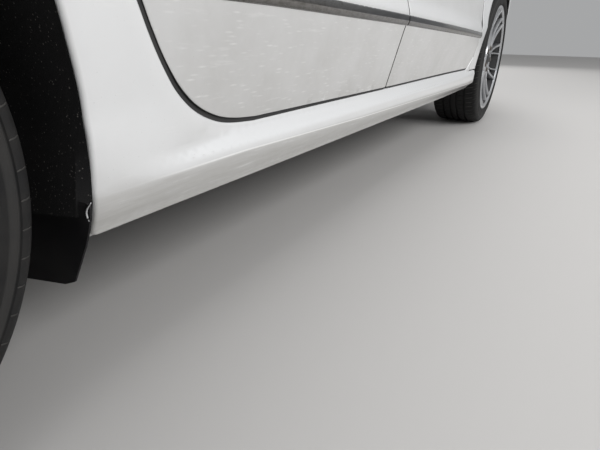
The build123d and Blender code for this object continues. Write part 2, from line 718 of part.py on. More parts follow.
WHEEL_PLANE = Plane(origin=(XR + 1840, 370, 830), x_dir=(0, 1, 0), z_dir=(-cos(radians(24)), 0, sin(radians(24))))
with BuildPart() as steering_wheel:
    with BuildSketch(Plane(origin=(XR + 1840, 370, 830), x_dir=(0, 1, 0), z_dir=(sin(radians(24)), 0, cos(radians(24))))):
        with Locations((178, 0)):
            Circle(15)
    revolve(axis=Axis(WHEEL_PLANE.origin, WHEEL_PLANE.z_dir))
    with BuildSketch(WHEEL_PLANE):
        Circle(62)
        with Locations((0, 0)):
            Rectangle(340, 34)
        with Locations((0, -85)):
            Rectangle(34, 170)
    extrude(amount=-18)
with BuildPart() as column:
    with BuildSketch(WHEEL_PLANE.offset(-18)):
        Circle(32)
    extrude(amount=-190)
save(cut(dash.part, column.part), "dashboard")
save(join(steering_wheel.part, column.part), "steering_wheel")


def seat(x, half, y, z, back_z, head):
    """One seat: cushion, leaning back and headrest, centred at half width y."""
    with BuildPart() as part:
        with BuildSketch(SIDE.offset(-y - half)):
            with BuildLine():
                Polyline((XR + x + 40, z - 150), (XR + x + 500, z - 130), (XR + x + 520, z - 10), (XR + x + 470, z + 20), (XR + x + 60, z - 10), (XR + x + 30, z + 40),
                         (XR + x - 120, back_z), (XR + x - 190, back_z - 10), (XR + x - 90, z - 20), close=True)
            make_face()
        extrude(amount=2 * half)
        if head:
            with Locations(*[(XR + x - 165, y + dy, back_z + 95) for dy in head]):
                Box(95, 230, 150)
            with Locations(*[(XR + x - 158, y + dy, back_z + 20) for dy in head]):
                Box(16, 120, 100)
    return part.part


save(join(both(join(seat(1290, 234, -370, 470, 960, [0]), block(1330, 1760, -560, -180, 254, 325)))), "front_seats")
save(join(seat(560, 560, 0, 612, 1010, [-370, 0, 370])), "rear_bench")

# ---------------------------------------------------------------- door mirrors
with BuildPart() as mirror_right:
    with BuildSketch(Plane(origin=(XR + 2088, 0, 0), x_dir=(0, 1, 0), z_dir=(1, 0, 0))) as mirror_face:
        with BuildLine():
            Polyline((-900, 978), (-1058, 992), (-1074, 1030), (-1056, 1082), (-912, 1080), (-890, 1030), close=True)
        make_face()
        fillet(mirror_face.vertices(), 10)
    extrude(amount=96, taper=14)
    with Locations((XR + 2132, -868, 974)):
        Box(60, 92, 26)
save(mirror_right.part, "mirror_right")
save(flipped(mirror_right.part), "mirror_left")
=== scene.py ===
import json
import math

import bmesh
import bpy
import numpy as np
from mathutils import Matrix, Vector
from mathutils.bvhtree import BVHTree

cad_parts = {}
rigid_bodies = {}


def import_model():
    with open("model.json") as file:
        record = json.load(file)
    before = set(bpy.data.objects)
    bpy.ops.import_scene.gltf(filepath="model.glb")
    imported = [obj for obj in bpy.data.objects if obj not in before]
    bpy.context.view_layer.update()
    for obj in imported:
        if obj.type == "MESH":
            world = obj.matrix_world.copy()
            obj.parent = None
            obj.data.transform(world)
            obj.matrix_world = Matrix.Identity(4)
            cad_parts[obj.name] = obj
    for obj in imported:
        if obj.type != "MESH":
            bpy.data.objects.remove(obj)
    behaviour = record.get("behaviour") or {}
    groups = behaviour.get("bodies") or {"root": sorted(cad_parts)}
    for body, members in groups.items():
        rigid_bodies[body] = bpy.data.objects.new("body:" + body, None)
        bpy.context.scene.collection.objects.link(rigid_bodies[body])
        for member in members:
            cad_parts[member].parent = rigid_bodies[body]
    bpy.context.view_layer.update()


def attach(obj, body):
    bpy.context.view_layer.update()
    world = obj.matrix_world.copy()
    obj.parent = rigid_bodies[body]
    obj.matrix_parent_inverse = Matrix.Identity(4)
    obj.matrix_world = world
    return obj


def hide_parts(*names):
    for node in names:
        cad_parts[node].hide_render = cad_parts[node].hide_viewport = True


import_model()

XR, XF = -1.320, 1.471  # axles
TYRE_R = 0.333


# ---------------------------------------------------------------- node material helpers
def new_mat(name):
    m = bpy.data.materials.new(name)
    m.use_nodes = True
    nt = m.node_tree
    return m, nt, nt.nodes["Principled BSDF"]


def setv(b, **kw):
    names = dict(base="Base Color", rough="Roughness", metal="Metallic", ior="IOR", coat="Coat Weight", coat_rough="Coat Roughness",
                 coat_ior="Coat IOR", trans="Transmission Weight", alpha="Alpha", spec="Specular IOR Level", sheen="Sheen Weight",
                 sheen_rough="Sheen Roughness", aniso="Anisotropic", emit="Emission Color", emit_s="Emission Strength")
    for k, v in kw.items():
        s = b.inputs[names[k]]
        if isinstance(v, (tuple, list)):
            v = tuple(v) + ((1.0,) if len(v) == 3 else ())
        s.default_value = v


def coords(nt, scale=(1, 1, 1), rot=(0, 0, 0)):
    tc = nt.nodes.new("ShaderNodeTexCoord")
    mp = nt.nodes.new("ShaderNodeMapping")
    mp.inputs["Scale"].default_value = scale
    mp.inputs["Rotation"].default_value = rot
    nt.links.new(tc.outputs["Object"], mp.inputs["Vector"])
    return mp.outputs["Vector"]


def noise(nt, vec, scale, detail=4.0, rough=0.5, dist=0.0):
    n = nt.nodes.new("ShaderNodeTexNoise")
    n.inputs["Scale"].default_value = scale
    n.inputs["Detail"].default_value = detail
    n.inputs["Roughness"].default_value = rough
    n.inputs["Distortion"].default_value = dist
    nt.links.new(vec, n.inputs["Vector"])
    return n.outputs["Fac"]


def voronoi(nt, vec, scale, feature="F1", rand=1.0):
    n = nt.nodes.new("ShaderNodeTexVoronoi")
    n.feature = feature
    n.inputs["Scale"].default_value = scale
    n.inputs["Randomness"].default_value = rand
    nt.links.new(vec, n.inputs["Vector"])
    return n.outputs["Distance"]


def ramp(nt, fac, stops):
    r = nt.nodes.new("ShaderNodeValToRGB")
    e = r.color_ramp.elements
    while len(e) > 1:
        e.remove(e[0])
    e[0].position = stops[0][0]
    e[0].color = tuple(stops[0][1]) + (1.0,)
    for p, c in stops[1:]:
        k = e.new(p)
        k.color = tuple(c) + (1.0,)
    nt.links.new(fac, r.inputs["Fac"])
    return r.outputs["Color"]


def remap(nt, fac, a, b, c, d):
    m = nt.nodes.new("ShaderNodeMapRange")
    for n, v in (("From Min", a), ("From Max", b), ("To Min", c), ("To Max", d)):
        m.inputs[n].default_value = v
    nt.links.new(fac, m.inputs["Value"])
    return m.outputs["Result"]


def maths(nt, op, a, b=None):
    m = nt.nodes.new("ShaderNodeMath")
    m.operation = op
    for n, v in enumerate((a, b)):
        if v is None:
            continue
        if isinstance(v, (int, float)):
            m.inputs[n].default_value = v
        else:
            nt.links.new(v, m.inputs[n])
    return m.outputs[0]


def mix(nt, fac, a, b):
    m = nt.nodes.new("ShaderNodeMix")
    m.data_type = "RGBA"
    if isinstance(fac, (int, float)):
        m.inputs[0].default_value = fac
    else:
        nt.links.new(fac, m.inputs[0])
    for s, v in ((6, a), (7, b)):
        if isinstance(v, (tuple, list)):
            m.inputs[s].default_value = tuple(v) + ((1.0,) if len(v) == 3 else ())
        else:
            nt.links.new(v, m.inputs[s])
    return m.outputs[2]


def bump(nt, b, height, strength, distance, normal=None):
    n = nt.nodes.new("ShaderNodeBump")
    n.inputs["Strength"].default_value = strength
    n.inputs["Distance"].default_value = distance
    nt.links.new(height, n.inputs["Height"])
    if normal is not None:
        nt.links.new(normal, n.inputs["Normal"])
    if b is not None:
        nt.links.new(n.outputs["Normal"], b.inputs["Normal"])
    return n.outputs["Normal"]


def height_z(nt):
    g = nt.nodes.new("ShaderNodeTexCoord")
    s = nt.nodes.new("ShaderNodeSeparateXYZ")
    nt.links.new(g.outputs["Object"], s.inputs[0])
    return s.outputs["Z"]


def link(nt, a, b):
    nt.links.new(a, b)


def paint(name, base, film_and_shade_top=0.62, film_and_shade_amount=0.32, speck=0.55, reflection_fleck=0.0, crease=False):
    """White lacquer over colour, with faint orange peel, dust and a road grime that thickens towards the ground and is
    partly painted shade; what faces down gets a painted reflection of the ground, and it can have a painted highlight
    on the sill's crease and flecks of painted reflection.
    """
    m, nt, b = new_mat(name)
    v = coords(nt)
    setv(b, base=base, rough=0.32, coat=1.0, coat_rough=0.04, coat_ior=1.5, spec=0.5)
    dust = noise(nt, v, 9.0, 6.0, 0.62)
    fine = noise(nt, v, 420.0, 3.0, 0.6)
    z = height_z(nt)
    # grey road grime that thickens towards the ground: partly real grime, partly painted shade of the lower body
    low = remap(nt, z, 0.20, film_and_shade_top, 1.0, 0.0)
    film_and_shade = maths(nt, "MULTIPLY", remap(nt, dust, 0.35, 0.75, 0.54, 0.80), maths(nt, "MULTIPLY", low, film_and_shade_amount))
    geo = nt.nodes.new("ShaderNodeNewGeometry")
    sep = nt.nodes.new("ShaderNodeSeparateXYZ")
    link(nt, geo.outputs["Normal"], sep.inputs[0])
    film_and_shade = maths(nt, "MULTIPLY", film_and_shade, remap(nt, sep.outputs["Z"], 0.08, 0.34, 1.0, 0.12))  # weaker on what faces up: painted shade, as faces turned to the sky are lit
    specks = remap(nt, voronoi(nt, v, 170.0), 0.0, 0.16, 1.0, 0.0)
    specks = maths(nt, "MULTIPLY", specks, maths(nt, "MULTIPLY", low, remap(nt, fine, 0.5, 0.62, 0.0, speck)))
    c = mix(nt, film_and_shade, base, (0.49, 0.485, 0.475))
    # darker tint on what faces the road: partly splash grime, partly painted shade and reflection of the ground, with
    # thin streaks of painted reflection along the car
    under = maths(nt, "MULTIPLY", remap(nt, sep.outputs["Z"], -0.13, -0.30, 0.0, 1.0), remap(nt, z, 0.34, 0.24, 0.0, 1.0))
    stretch = nt.nodes.new("ShaderNodeMapping")
    stretch.inputs["Scale"].default_value = (0.10, 1.0, 1.0)
    link(nt, v, stretch.inputs["Vector"])
    streak = noise(nt, stretch.outputs["Vector"], 130.0, 4.0, 0.65)
    under = maths(nt, "MULTIPLY", under, remap(nt, streak, 0.30, 0.70, 0.80, 0.52))
    c = mix(nt, under, c, (0.40, 0.39, 0.365))
    # pale streaks on the lower body: painted reflection of the ground
    light = maths(nt, "MULTIPLY", remap(nt, streak, 0.60, 0.74, 0.0, 0.30), low)
    c = mix(nt, light, c, (0.86, 0.86, 0.85))
    if crease:
        # painted highlight along the sill's crease, which falls forwards along the car
        place = nt.nodes.new("ShaderNodeSeparateXYZ")
        link(nt, v, place.inputs[0])
        along = maths(nt, "ADD", place.outputs["X"], -XR)
        run = maths(nt, "ADD", remap(nt, along, 0.65, 1.10, 0.2685, 0.2575), remap(nt, along, 1.10, 2.35, 0.0, -0.0175))
        off = maths(nt, "ABSOLUTE", maths(nt, "SUBTRACT", z, run))
        line = maths(nt, "MULTIPLY", remap(nt, off, 0.0006, 0.0019, 1.0, 0.0), remap(nt, along, 0.44, 0.60, 0.0, 0.85))
        c = mix(nt, line, c, (0.92, 0.92, 0.91))
    c = mix(nt, specks, c, (0.30, 0.28, 0.26))
    if reflection_fleck:
        # painted reflection of the ground: short light flecks lying along the car, in patches
        long = nt.nodes.new("ShaderNodeMapping")
        long.inputs["Scale"].default_value = (0.17, 1.0, 1.0)
        long.inputs["Rotation"].default_value = (0.0, 0.10, 0.0)
        link(nt, v, long.inputs["Vector"])
        dots = remap(nt, voronoi(nt, long.outputs["Vector"], 165.0), 0.05, 0.30, 1.0, 0.0)
        fleck_patches = remap(nt, noise(nt, v, 26.0, 3.0, 0.6), 0.34, 0.60, 0.10, 1.0)
        near = remap(nt, z, 0.46, 0.56, 1.0, 0.12)
        c = mix(nt, maths(nt, "MULTIPLY", maths(nt, "MULTIPLY", dots, fleck_patches), maths(nt, "MULTIPLY", near, reflection_fleck)), c, (0.88, 0.88, 0.87))
    link(nt, c, b.inputs["Base Color"])
    link(nt, remap(nt, film_and_shade, 0.0, 0.3, 0.03, 0.16), b.inputs["Coat Roughness"])
    bump(nt, b, noise(nt, v, 380.0, 2.0, 0.5), 0.05, 0.0004)
    return m


def plain(name, base, rough, metal=0.0, grain=0.0, grain_scale=600.0, dirt=0.0, dirt_col=(0.3, 0.28, 0.25), spec=0.5, coat=0.0, coat_rough=0.05):
    m, nt, b = new_mat(name)
    v = coords(nt)
    setv(b, base=base, rough=rough, metal=metal, spec=spec, coat=coat, coat_rough=coat_rough)
    n = noise(nt, v, 14.0, 6.0, 0.65)
    c = mix(nt, remap(nt, n, 0.35, 0.75, 0.0, max(dirt, 0.06)), base, dirt_col)
    link(nt, c, b.inputs["Base Color"])
    link(nt, remap(nt, n, 0.3, 0.7, max(0.02, rough - 0.05), min(1.0, rough + 0.08)), b.inputs["Roughness"])
    if grain:
        bump(nt, b, noise(nt, v, grain_scale, 3.0, 0.55), grain, 0.0006)
    return m


def felt(name):
    """Black needled felt of the arch liners, with pale dust specks caught in it."""
    m, nt, b = new_mat(name)
    v = coords(nt)
    fib = noise(nt, v, 900.0, 4.0, 0.7)
    spots = remap(nt, voronoi(nt, v, 260.0), 0.0, 0.27, 1.0, 0.0)
    keep = remap(nt, noise(nt, v, 150.0, 3.0, 0.6), 0.50, 0.58, 0.0, 1.0)
    spots = maths(nt, "MULTIPLY", spots, keep)
    wide = remap(nt, noise(nt, v, 7.0, 5.0, 0.6), 0.35, 0.7, 0.0, 0.5)
    c = mix(nt, wide, (0.0045, 0.0045, 0.005), (0.010, 0.0095, 0.009))
    c = mix(nt, remap(nt, fib, 0.4, 0.7, 0.0, 0.25), c, (0.016, 0.016, 0.017))
    c = mix(nt, spots, c, (0.27, 0.255, 0.235))
    link(nt, c, b.inputs["Base Color"])
    setv(b, rough=0.95, spec=0.10, sheen=0.04, sheen_rough=0.6)
    bump(nt, b, fib, 0.7, 0.0012)
    return m


def glass(name, tint=(0.55, 0.62, 0.60), dark=0.55):
    """Tinted car glass, thin: mostly clear with a mirror-like front, a little dust."""
    m, nt, b = new_mat(name)
    nt.nodes.remove(b)
    out = nt.nodes["Material Output"]
    v = coords(nt)
    tr = nt.nodes.new("ShaderNodeBsdfTransparent")
    tr.inputs["Color"].default_value = tuple(t * dark for t in tint) + (1,)
    gl = nt.nodes.new("ShaderNodeBsdfGlossy")
    gl.inputs["Roughness"].default_value = 0.02
    gl.inputs["Color"].default_value = (1, 1, 1, 1)
    fr = nt.nodes.new("ShaderNodeFresnel")
    fr.inputs["IOR"].default_value = 1.5
    d = nt.nodes.new("ShaderNodeBsdfDiffuse")
    d.inputs["Color"].default_value = (0.6, 0.58, 0.54, 1)
    mx = nt.nodes.new("ShaderNodeMixShader")
    link(nt, fr.outputs[0], mx.inputs[0])
    link(nt, tr.outputs[0], mx.inputs[1])
    link(nt, gl.outputs[0], mx.inputs[2])
    mx2 = nt.nodes.new("ShaderNodeMixShader")
    link(nt, remap(nt, noise(nt, v, 25.0, 6.0, 0.6), 0.45, 0.8, 0.0, 0.035), mx2.inputs[0])
    link(nt, mx.outputs[0], mx2.inputs[1])
    link(nt, d.outputs[0], mx2.inputs[2])
    link(nt, mx2.outputs[0], out.inputs["Surface"])
    return m


def rubber(name):
    m, nt, b = new_mat(name)
    v = coords(nt)
    n = noise(nt, v, 30.0, 6.0, 0.65)
    c = mix(nt, remap(nt, n, 0.35, 0.72, 0.0, 0.6), (0.0085, 0.0085, 0.009), (0.026, 0.0245, 0.023))
    worn = nt.nodes.new("ShaderNodeAttribute")  # dust that sits in the shoulder cuts and on the rim-guard rib
    worn.attribute_name = "dusty"
    c = mix(nt, worn.outputs["Fac"], c, (0.125, 0.121, 0.114))
    link(nt, c, b.inputs["Base Color"])
    setv(b, spec=0.25)
    link(nt, remap(nt, n, 0.3, 0.7, 0.55, 0.8), b.inputs["Roughness"])
    bump(nt, b, noise(nt, v, 700.0, 3.0, 0.6), 0.25, 0.0006)
    return m


# body paint: a heavier road grime that is partly painted shade, and the painted highlight on the sill's crease
WHITE = paint("white_paint", (0.785, 0.792, 0.80), film_and_shade_amount=0.60, crease=True)
# door paint: a much heavier road grime that is mostly painted shade from the ground's reflection on the lower doors,
# with flecks of painted reflection
DOOR = paint("door_paint", (0.775, 0.78, 0.787), film_and_shade_top=0.95, film_and_shade_amount=1.65, speck=0.6, reflection_fleck=0.36)
BUMPER = paint("bumper_paint", (0.79, 0.80, 0.81))
BLACK = plain("black_plastic", (0.022, 0.022, 0.023), 0.55, grain=0.35, dirt=0.25, dirt_col=(0.12, 0.115, 0.11))
def ramp_value(nt, value, stops):
    """Piecewise straight function of a value."""
    out = None
    for (x0, v0), (x1, v1) in zip(stops, stops[1:]):
        part = remap(nt, value, x0, x1, 0.0, v1 - v0)
        out = part if out is None else maths(nt, "ADD", out, part)
    return maths(nt, "ADD", out, stops[0][1])


def moulding(name):
    """Polished strip coloured with painted reflections: a grey brushed lower facet reflecting the ground, a thin bright
    line, a nearly black upper facet and a painted highlight on its bright rolled edge.
    """
    m, nt, b = new_mat(name)
    v = coords(nt)
    g = nt.nodes.new("ShaderNodeTexCoord")
    sep = nt.nodes.new("ShaderNodeSeparateXYZ")
    link(nt, g.outputs["Object"], sep.inputs[0])
    z = sep.outputs["Z"]
    fx = ramp_value(nt, sep.outputs["X"], [(-0.92, 0.014), (-0.62, 0.0115), (-0.45, 0.0080), (-0.03, 0.0), (0.95, -0.0255)])
    h = maths(nt, "SUBTRACT", maths(nt, "SUBTRACT", z, fx), 0.4605)
    # painted reflections and highlights across the strip, by height above its lower edge
    c = ramp(nt, remap(nt, h, -0.002, 0.026, 0.0, 1.0), [(0.0, (0.20, 0.20, 0.20)), (0.36, (0.27, 0.265, 0.26)), (0.42, (0.50, 0.50, 0.50)), (0.47, (0.030, 0.034, 0.042)), (0.80, (0.022, 0.025, 0.033)), (0.86, (0.40, 0.41, 0.43)), (1.0, (0.6, 0.61, 0.62))])
    pale = ramp(nt, remap(nt, h, -0.002, 0.026, 0.0, 1.0), [(0.0, (0.16, 0.155, 0.145)), (0.36, (0.22, 0.21, 0.20)), (0.42, (0.20, 0.19, 0.18)), (0.60, (0.25, 0.24, 0.23)), (0.84, (0.38, 0.38, 0.37)), (0.90, (0.65, 0.66, 0.67)), (1.0, (0.7, 0.7, 0.7))])
    # the painted reflections are paler at the rear end and on the front door's forward part, darker round the pillar
    along = ramp_value(nt, sep.outputs["X"], [(-0.60, 1.0), (-0.16, 0.10), (-0.10, 0.0), (0.26, 0.0), (0.36, 0.92), (1.0, 1.0)])
    c = mix(nt, along, c, pale)
    c = mix(nt, remap(nt, noise(nt, coords(nt, scale=(0.5, 1.0, 1.0)), 210.0, 4.0, 0.7), 0.45, 0.62, 0.0, 0.55), c, (0.09, 0.085, 0.075))
    streak = noise(nt, coords(nt, scale=(6.0, 1.0, 90.0)), 4.0, 3.0, 0.6)
    c = mix(nt, remap(nt, streak, 0.4, 0.75, 0.0, 0.25), c, (0.30, 0.30, 0.31))
    link(nt, c, b.inputs["Base Color"])
    setv(b, metal=1.0, rough=0.16)
    link(nt, remap(nt, noise(nt, v, 60.0, 4.0, 0.6), 0.3, 0.7, 0.10, 0.24), b.inputs["Roughness"])
    return m


GLOSS = plain("gloss_black", (0.008, 0.008, 0.009), 0.12, coat=1.0, dirt=0.08)
SEAL = plain("seal_rubber", (0.015, 0.015, 0.016), 0.6, grain=0.1)
CHROME = plain("chrome_trim", (0.74, 0.75, 0.77), 0.07, metal=1.0, dirt=0.06, dirt_col=(0.4, 0.38, 0.36))
ALLOY = plain("alloy", (0.56, 0.57, 0.59), 0.30, metal=0.85, dirt=0.25, dirt_col=(0.20, 0.18, 0.16), coat=0.6, coat_rough=0.15)
BARREL = plain("rim_barrel", (0.075, 0.075, 0.078), 0.45, metal=0.5, dirt=0.5, dirt_col=(0.06, 0.055, 0.05))
CAST = plain("cast_metal", (0.20, 0.19, 0.18), 0.62, metal=0.7, grain=0.4, dirt=0.5, dirt_col=(0.16, 0.10, 0.06))
STEEL = plain("exhaust_steel", (0.36, 0.33, 0.30), 0.42, metal=0.9, dirt=0.4, dirt_col=(0.2, 0.13, 0.09))
UNDER = plain("underbody", (0.035, 0.035, 0.036), 0.75, grain=0.3, dirt=0.5, dirt_col=(0.17, 0.155, 0.14))
ENGINE = plain("engine_metal", (0.28, 0.28, 0.29), 0.5, metal=0.7, grain=0.3, dirt=0.3)
TRIM = plain("trim_plastic", (0.035, 0.035, 0.037), 0.6, grain=0.3)
FELT = felt("liner_felt")
MOULD = moulding("moulding_metal")
GLASS = glass("car_glass")
GLASS_DARK = glass("privacy_glass", dark=0.22)
RUBBER = rubber("tyre_rubber")
CLOTH = plain("seat_cloth", (0.055, 0.055, 0.060), 0.92, grain=0.6, grain_scale=900.0)
CLEAR = glass("lamp_clear", tint=(1, 1, 1), dark=0.92)


def backed(m, back=(0.020, 0.020, 0.021)):
    """Lamp whose faces towards the cabin are its black housing."""
    nt = m.node_tree
    b = nt.nodes["Principled BSDF"]
    links = b.inputs["Base Color"].links
    front = links[0].from_socket if links else tuple(b.inputs["Base Color"].default_value)
    geo = nt.nodes.new("ShaderNodeNewGeometry")
    way = nt.nodes.new("ShaderNodeSeparateXYZ")
    link(nt, geo.outputs["Normal"], way.inputs[0])
    place = nt.nodes.new("ShaderNodeSeparateXYZ")
    link(nt, coords(nt), place.inputs[0])
    inner = remap(nt, maths(nt, "MULTIPLY", way.outputs["Y"], place.outputs["Y"]), -0.02, -0.10, 0.0, 1.0)
    ahead = remap(nt, way.outputs["X"], 0.3, 0.6, 0.0, 1.0)
    link(nt, mix(nt, maths(nt, "MAXIMUM", inner, ahead), front, back), b.inputs["Base Color"])
    return m


RED = backed(plain("red_lens", (0.30, 0.006, 0.008), 0.12, coat=1.0, dirt=0.03))

MATS = {
    "body_shell": WHITE, "front_fenders": WHITE, "roof_panel": WHITE, "bonnet": WHITE, "tailgate": WHITE,
    "front_bumper": BUMPER, "rear_bumper": BUMPER, "mirror_right": BUMPER, "mirror_left": BUMPER,
    "cowl_panel": BLACK, "grille": BLACK, "headlamps": CLEAR, "tail_lamps": RED, "windscreen": GLASS,
    "quarter_windows": GLASS_DARK, "tailgate_glass": GLASS_DARK, "roof_rails": CHROME, "floor_pan": UNDER, "arch_liners": FELT,
    "front_subframe": UNDER, "rear_axle": UNDER, "engine": ENGINE, "fuel_tank": BLACK, "exhaust": STEEL,
    "dashboard": TRIM, "steering_wheel": TRIM, "front_seats": CLOTH, "rear_bench": CLOTH,
}
for s in ("right", "left"):
    MATS[f"front_door_{s}"] = MATS[f"rear_door_{s}"] = WHITE
    MATS[f"front_door_glass_{s}"] = GLASS
    MATS[f"rear_door_glass_{s}"] = GLASS_DARK
    MATS[f"front_knuckle_{s}"] = CAST
    for e in ("front", "rear"):
        MATS[f"{e}_tyre_{s}"] = RUBBER
        MATS[f"{e}_wheel_{s}"] = ALLOY


def cad(node):
    return bpy.data.objects[node]


for node, m in MATS.items():
    o = bpy.data.objects.get(node)
    if o is None:
        continue
    o.data.materials.clear()
    o.data.materials.append(m)
    for p in o.data.polygons:
        p.use_smooth = p.use_smooth

# ---------------------------------------------------------------- the body's surfaces, as in the CAD model (metres)
SILL_Z = (0.213, 0.258, 0.281, 0.296)
DOOR_Y = dict(bottom=0.860, crease=0.882, bulge=0.889, tuck=0.873, low=0.898, under=0.914, trim=0.920, ledge=0.905, mid=0.893, shoulder=0.914)
AXLE_Y = dict(bottom=0.852, crease=0.880, bulge=0.890, tuck=0.895, low=0.899, under=0.901, trim=0.902, ledge=0.902, mid=0.903, shoulder=0.906)
# columns: x from the rear axle, width factor, ledge, shoulder height, half width and height of the belt edge, height at the centre line
STATIONS = np.array([
    (-1.065, 0.700, 0.0, 0.900, 0.560, 0.950, 0.955),
    (-1.010, 0.830, 0.0, 0.900, 0.690, 0.950, 0.955),
    (-0.900, 0.925, 0.0, 0.899, 0.780, 0.950, 0.955),
    (-0.600, 0.982, 0.0, 0.896, 0.838, 0.950, 0.955),
    (0.000, 1.000, 0.1, 0.890, 0.868, 0.950, 0.955),
    (0.560, 0.999, 0.9, 0.884, 0.878, 0.948, 0.953),
    (1.284, 1.000, 1.0, 0.876, 0.880, 0.944, 0.949),
    (2.050, 0.998, 1.0, 0.866, 0.862, 0.936, 0.960),
    (2.420, 0.996, 0.4, 0.858, 0.800, 0.922, 0.985),
    (2.791, 0.998, 0.0, 0.842, 0.752, 0.900, 0.958),
    (3.180, 0.972, 0.0, 0.800, 0.704, 0.856, 0.908),
    (3.480, 0.900, 0.0, 0.742, 0.648, 0.790, 0.838),
    (3.640, 0.790, 0.0, 0.690, 0.560, 0.732, 0.778),
    (3.706, 0.680, 0.0, 0.660, 0.500, 0.700, 0.745),
])


def curve(xs, ys, x):
    """Smooth curve through points, with slopes from the neighbours on both sides."""
    xs, ys, x = np.asarray(xs, float), np.asarray(ys, float), np.asarray(x, float)
    h = np.diff(xs)
    d = np.diff(ys) / h
    m = np.empty(len(xs))
    m[1:-1] = (d[:-1] * h[1:] + d[1:] * h[:-1]) / (h[1:] + h[:-1])
    m[0], m[-1] = d[0], d[-1]
    k = np.clip(np.searchsorted(xs, x) - 1, 0, len(xs) - 2)
    t = (x - xs[k]) / h[k]
    a, b = t * t * (3 - 2 * t), t * (1 - t) ** 2
    return ys[k] * (1 - a) + ys[k + 1] * a + h[k] * (b * m[k] - t * t * (1 - t) * m[k + 1])


def station(x):
    return [curve(STATIONS[:, 0], STATIONS[:, c], x) for c in range(1, 7)]


def arc3(z, z0, y0, z1, y1, z2, y2):
    """Parabola through three points, near enough to the arc through them."""
    return (y0 * (z - z1) * (z - z2) / ((z0 - z1) * (z0 - z2)) + y1 * (z - z0) * (z - z2) / ((z1 - z0) * (z1 - z2))
            + y2 * (z - z0) * (z - z1) / ((z2 - z0) * (z2 - z1)))


def profile(x, z):
    """Half width of the lower body at station x and height z."""
    k, l, zsh, ybl, zbl, zc = station(x)
    y = {n: k * (DOOR_Y[n] * l + AXLE_Y[n] * (1 - l)) for n in DOOR_Y}
    a, b, c, d = SILL_Z
    b = np.interp(x, [0.45, 0.65, 1.10, 1.60, 2.35], [0.2660, 0.2685, 0.2575, 0.2500, 0.2400])  # the sill's crease falls forwards
    t = np.clip((x - 0.425) / 0.125, 0, 1)
    fade = t * t * (3 - 2 * t)
    lin = lambda z0, y0, z1, y1: y0 + (y1 - y0) * (z - z0) / (z1 - z0)
    yb = y["crease"] + 0.0052 + 0.0014 * np.clip((b - 0.250) / 0.015, 0, 1)
    fold = 0.2255
    out = lin(a, y["bottom"] - 0.001, fold, y["bottom"] + 0.0100)
    out = np.where(z > fold, lin(fold, y["bottom"] + 0.0100, b, yb), out)
    out = np.where(z > b, lin(b, yb, c, y["bulge"] - 0.0003), out)
    out = np.where(z > c, lin(c, y["bulge"] - 0.0003, d, y["tuck"]), out)
    plainer = y["bottom"] + 0.0335 * (1 - (1 - np.clip((z - a) / 0.110, 0, 1)) ** 2.6)
    out = np.where(z <= d, out * fade + plainer * (1 - fade), out)
    # the quarter's foot eases into the sill
    w = np.clip((0.62 - x) / 0.20, 0, 1) * (z > d) * np.clip((0.43 - z) / 0.10, 0, 1)
    above = arc3(z, d, y["tuck"], 0.395, y["low"], 0.458, y["under"])
    out = np.where(z > d, above * (1 - w) + np.maximum(above, plainer) * w, out)
    out = np.where(z > 0.458, lin(0.458, y["under"], 0.482, y["trim"]), out)
    out = np.where(z > 0.482, lin(0.482, y["trim"], 0.524, y["ledge"]), out)
    zm = (0.524 + zsh) / 2 - 0.030
    out = np.where(z > 0.524, arc3(z, 0.524, y["ledge"], zm, y["mid"], zsh, y["shoulder"]), out)
    out = np.where(z > zsh, lin(zsh, y["shoulder"], zbl, ybl), out)
    return out


def side_y(x, z):
    """The same with its creases rolled over a small radius."""
    x, z = np.asarray(x, float), np.asarray(z, float)
    tot, wsum = 0.0, 0.0
    for dz, w in ((-0.0050, 1), (-0.0032, 2), (-0.0014, 3), (0.0, 3), (0.0014, 3), (0.0032, 2), (0.0050, 1)):
        tot = tot + w * profile(x, z + dz)
        wsum += w
    return tot / wsum


# greenhouse plan outlines: z; windscreen centre x, corner x and half width; side start, middle, end x and half width; rear corner; rear centre x
GREEN = np.array([
    (0.915, 2.480, 2.290, 0.700, 2.190, 0.788, 0.900, 0.872, -0.740, 0.808, -0.950, 0.610, -1.000),
    (1.190, 2.105, 1.930, 0.640, 1.822, 0.716, 0.800, 0.766, -0.620, 0.722, -0.800, 0.560, -0.850),
    (1.470, 1.700, 1.590, 0.500, 1.480, 0.580, 0.600, 0.606, -0.480, 0.566, -0.620, 0.450, -0.660),
])


def green(z):
    """Row of the outline table at height z, by the parabola through the three rows."""
    z = np.asarray(z, float)[..., None]
    z0, z1, z2 = GREEN[:, 0]
    return (GREEN[0] * (z - z1) * (z - z2) / ((z0 - z1) * (z0 - z2)) + GREEN[1] * (z - z0) * (z - z2) / ((z1 - z0) * (z1 - z2))
            + GREEN[2] * (z - z0) * (z - z1) / ((z2 - z0) * (z2 - z1)))


def upper_y(x, z):
    """Half width of the cabin's side at station x and height z."""
    x = np.asarray(x, float)
    g = green(z)
    return arc3(x, g[..., 4], g[..., 5], g[..., 6], g[..., 7], g[..., 8], g[..., 9])


# ---------------------------------------------------------------- mesh helpers
def add_mesh(name, verts, faces, mat, smooth=True, angle=None):
    me = bpy.data.meshes.new(name)
    me.from_pydata([tuple(map(float, v)) for v in verts], [], [tuple(map(int, f)) for f in faces])
    me.update()
    if smooth:
        me.polygons.foreach_set("use_smooth", [True] * len(me.polygons))
        if angle:
            me.set_sharp_from_angle(angle=math.radians(angle))
    o = bpy.data.objects.new(name, me)
    if mat is not None:
        me.materials.append(mat)
    bpy.context.scene.collection.objects.link(o)
    return o


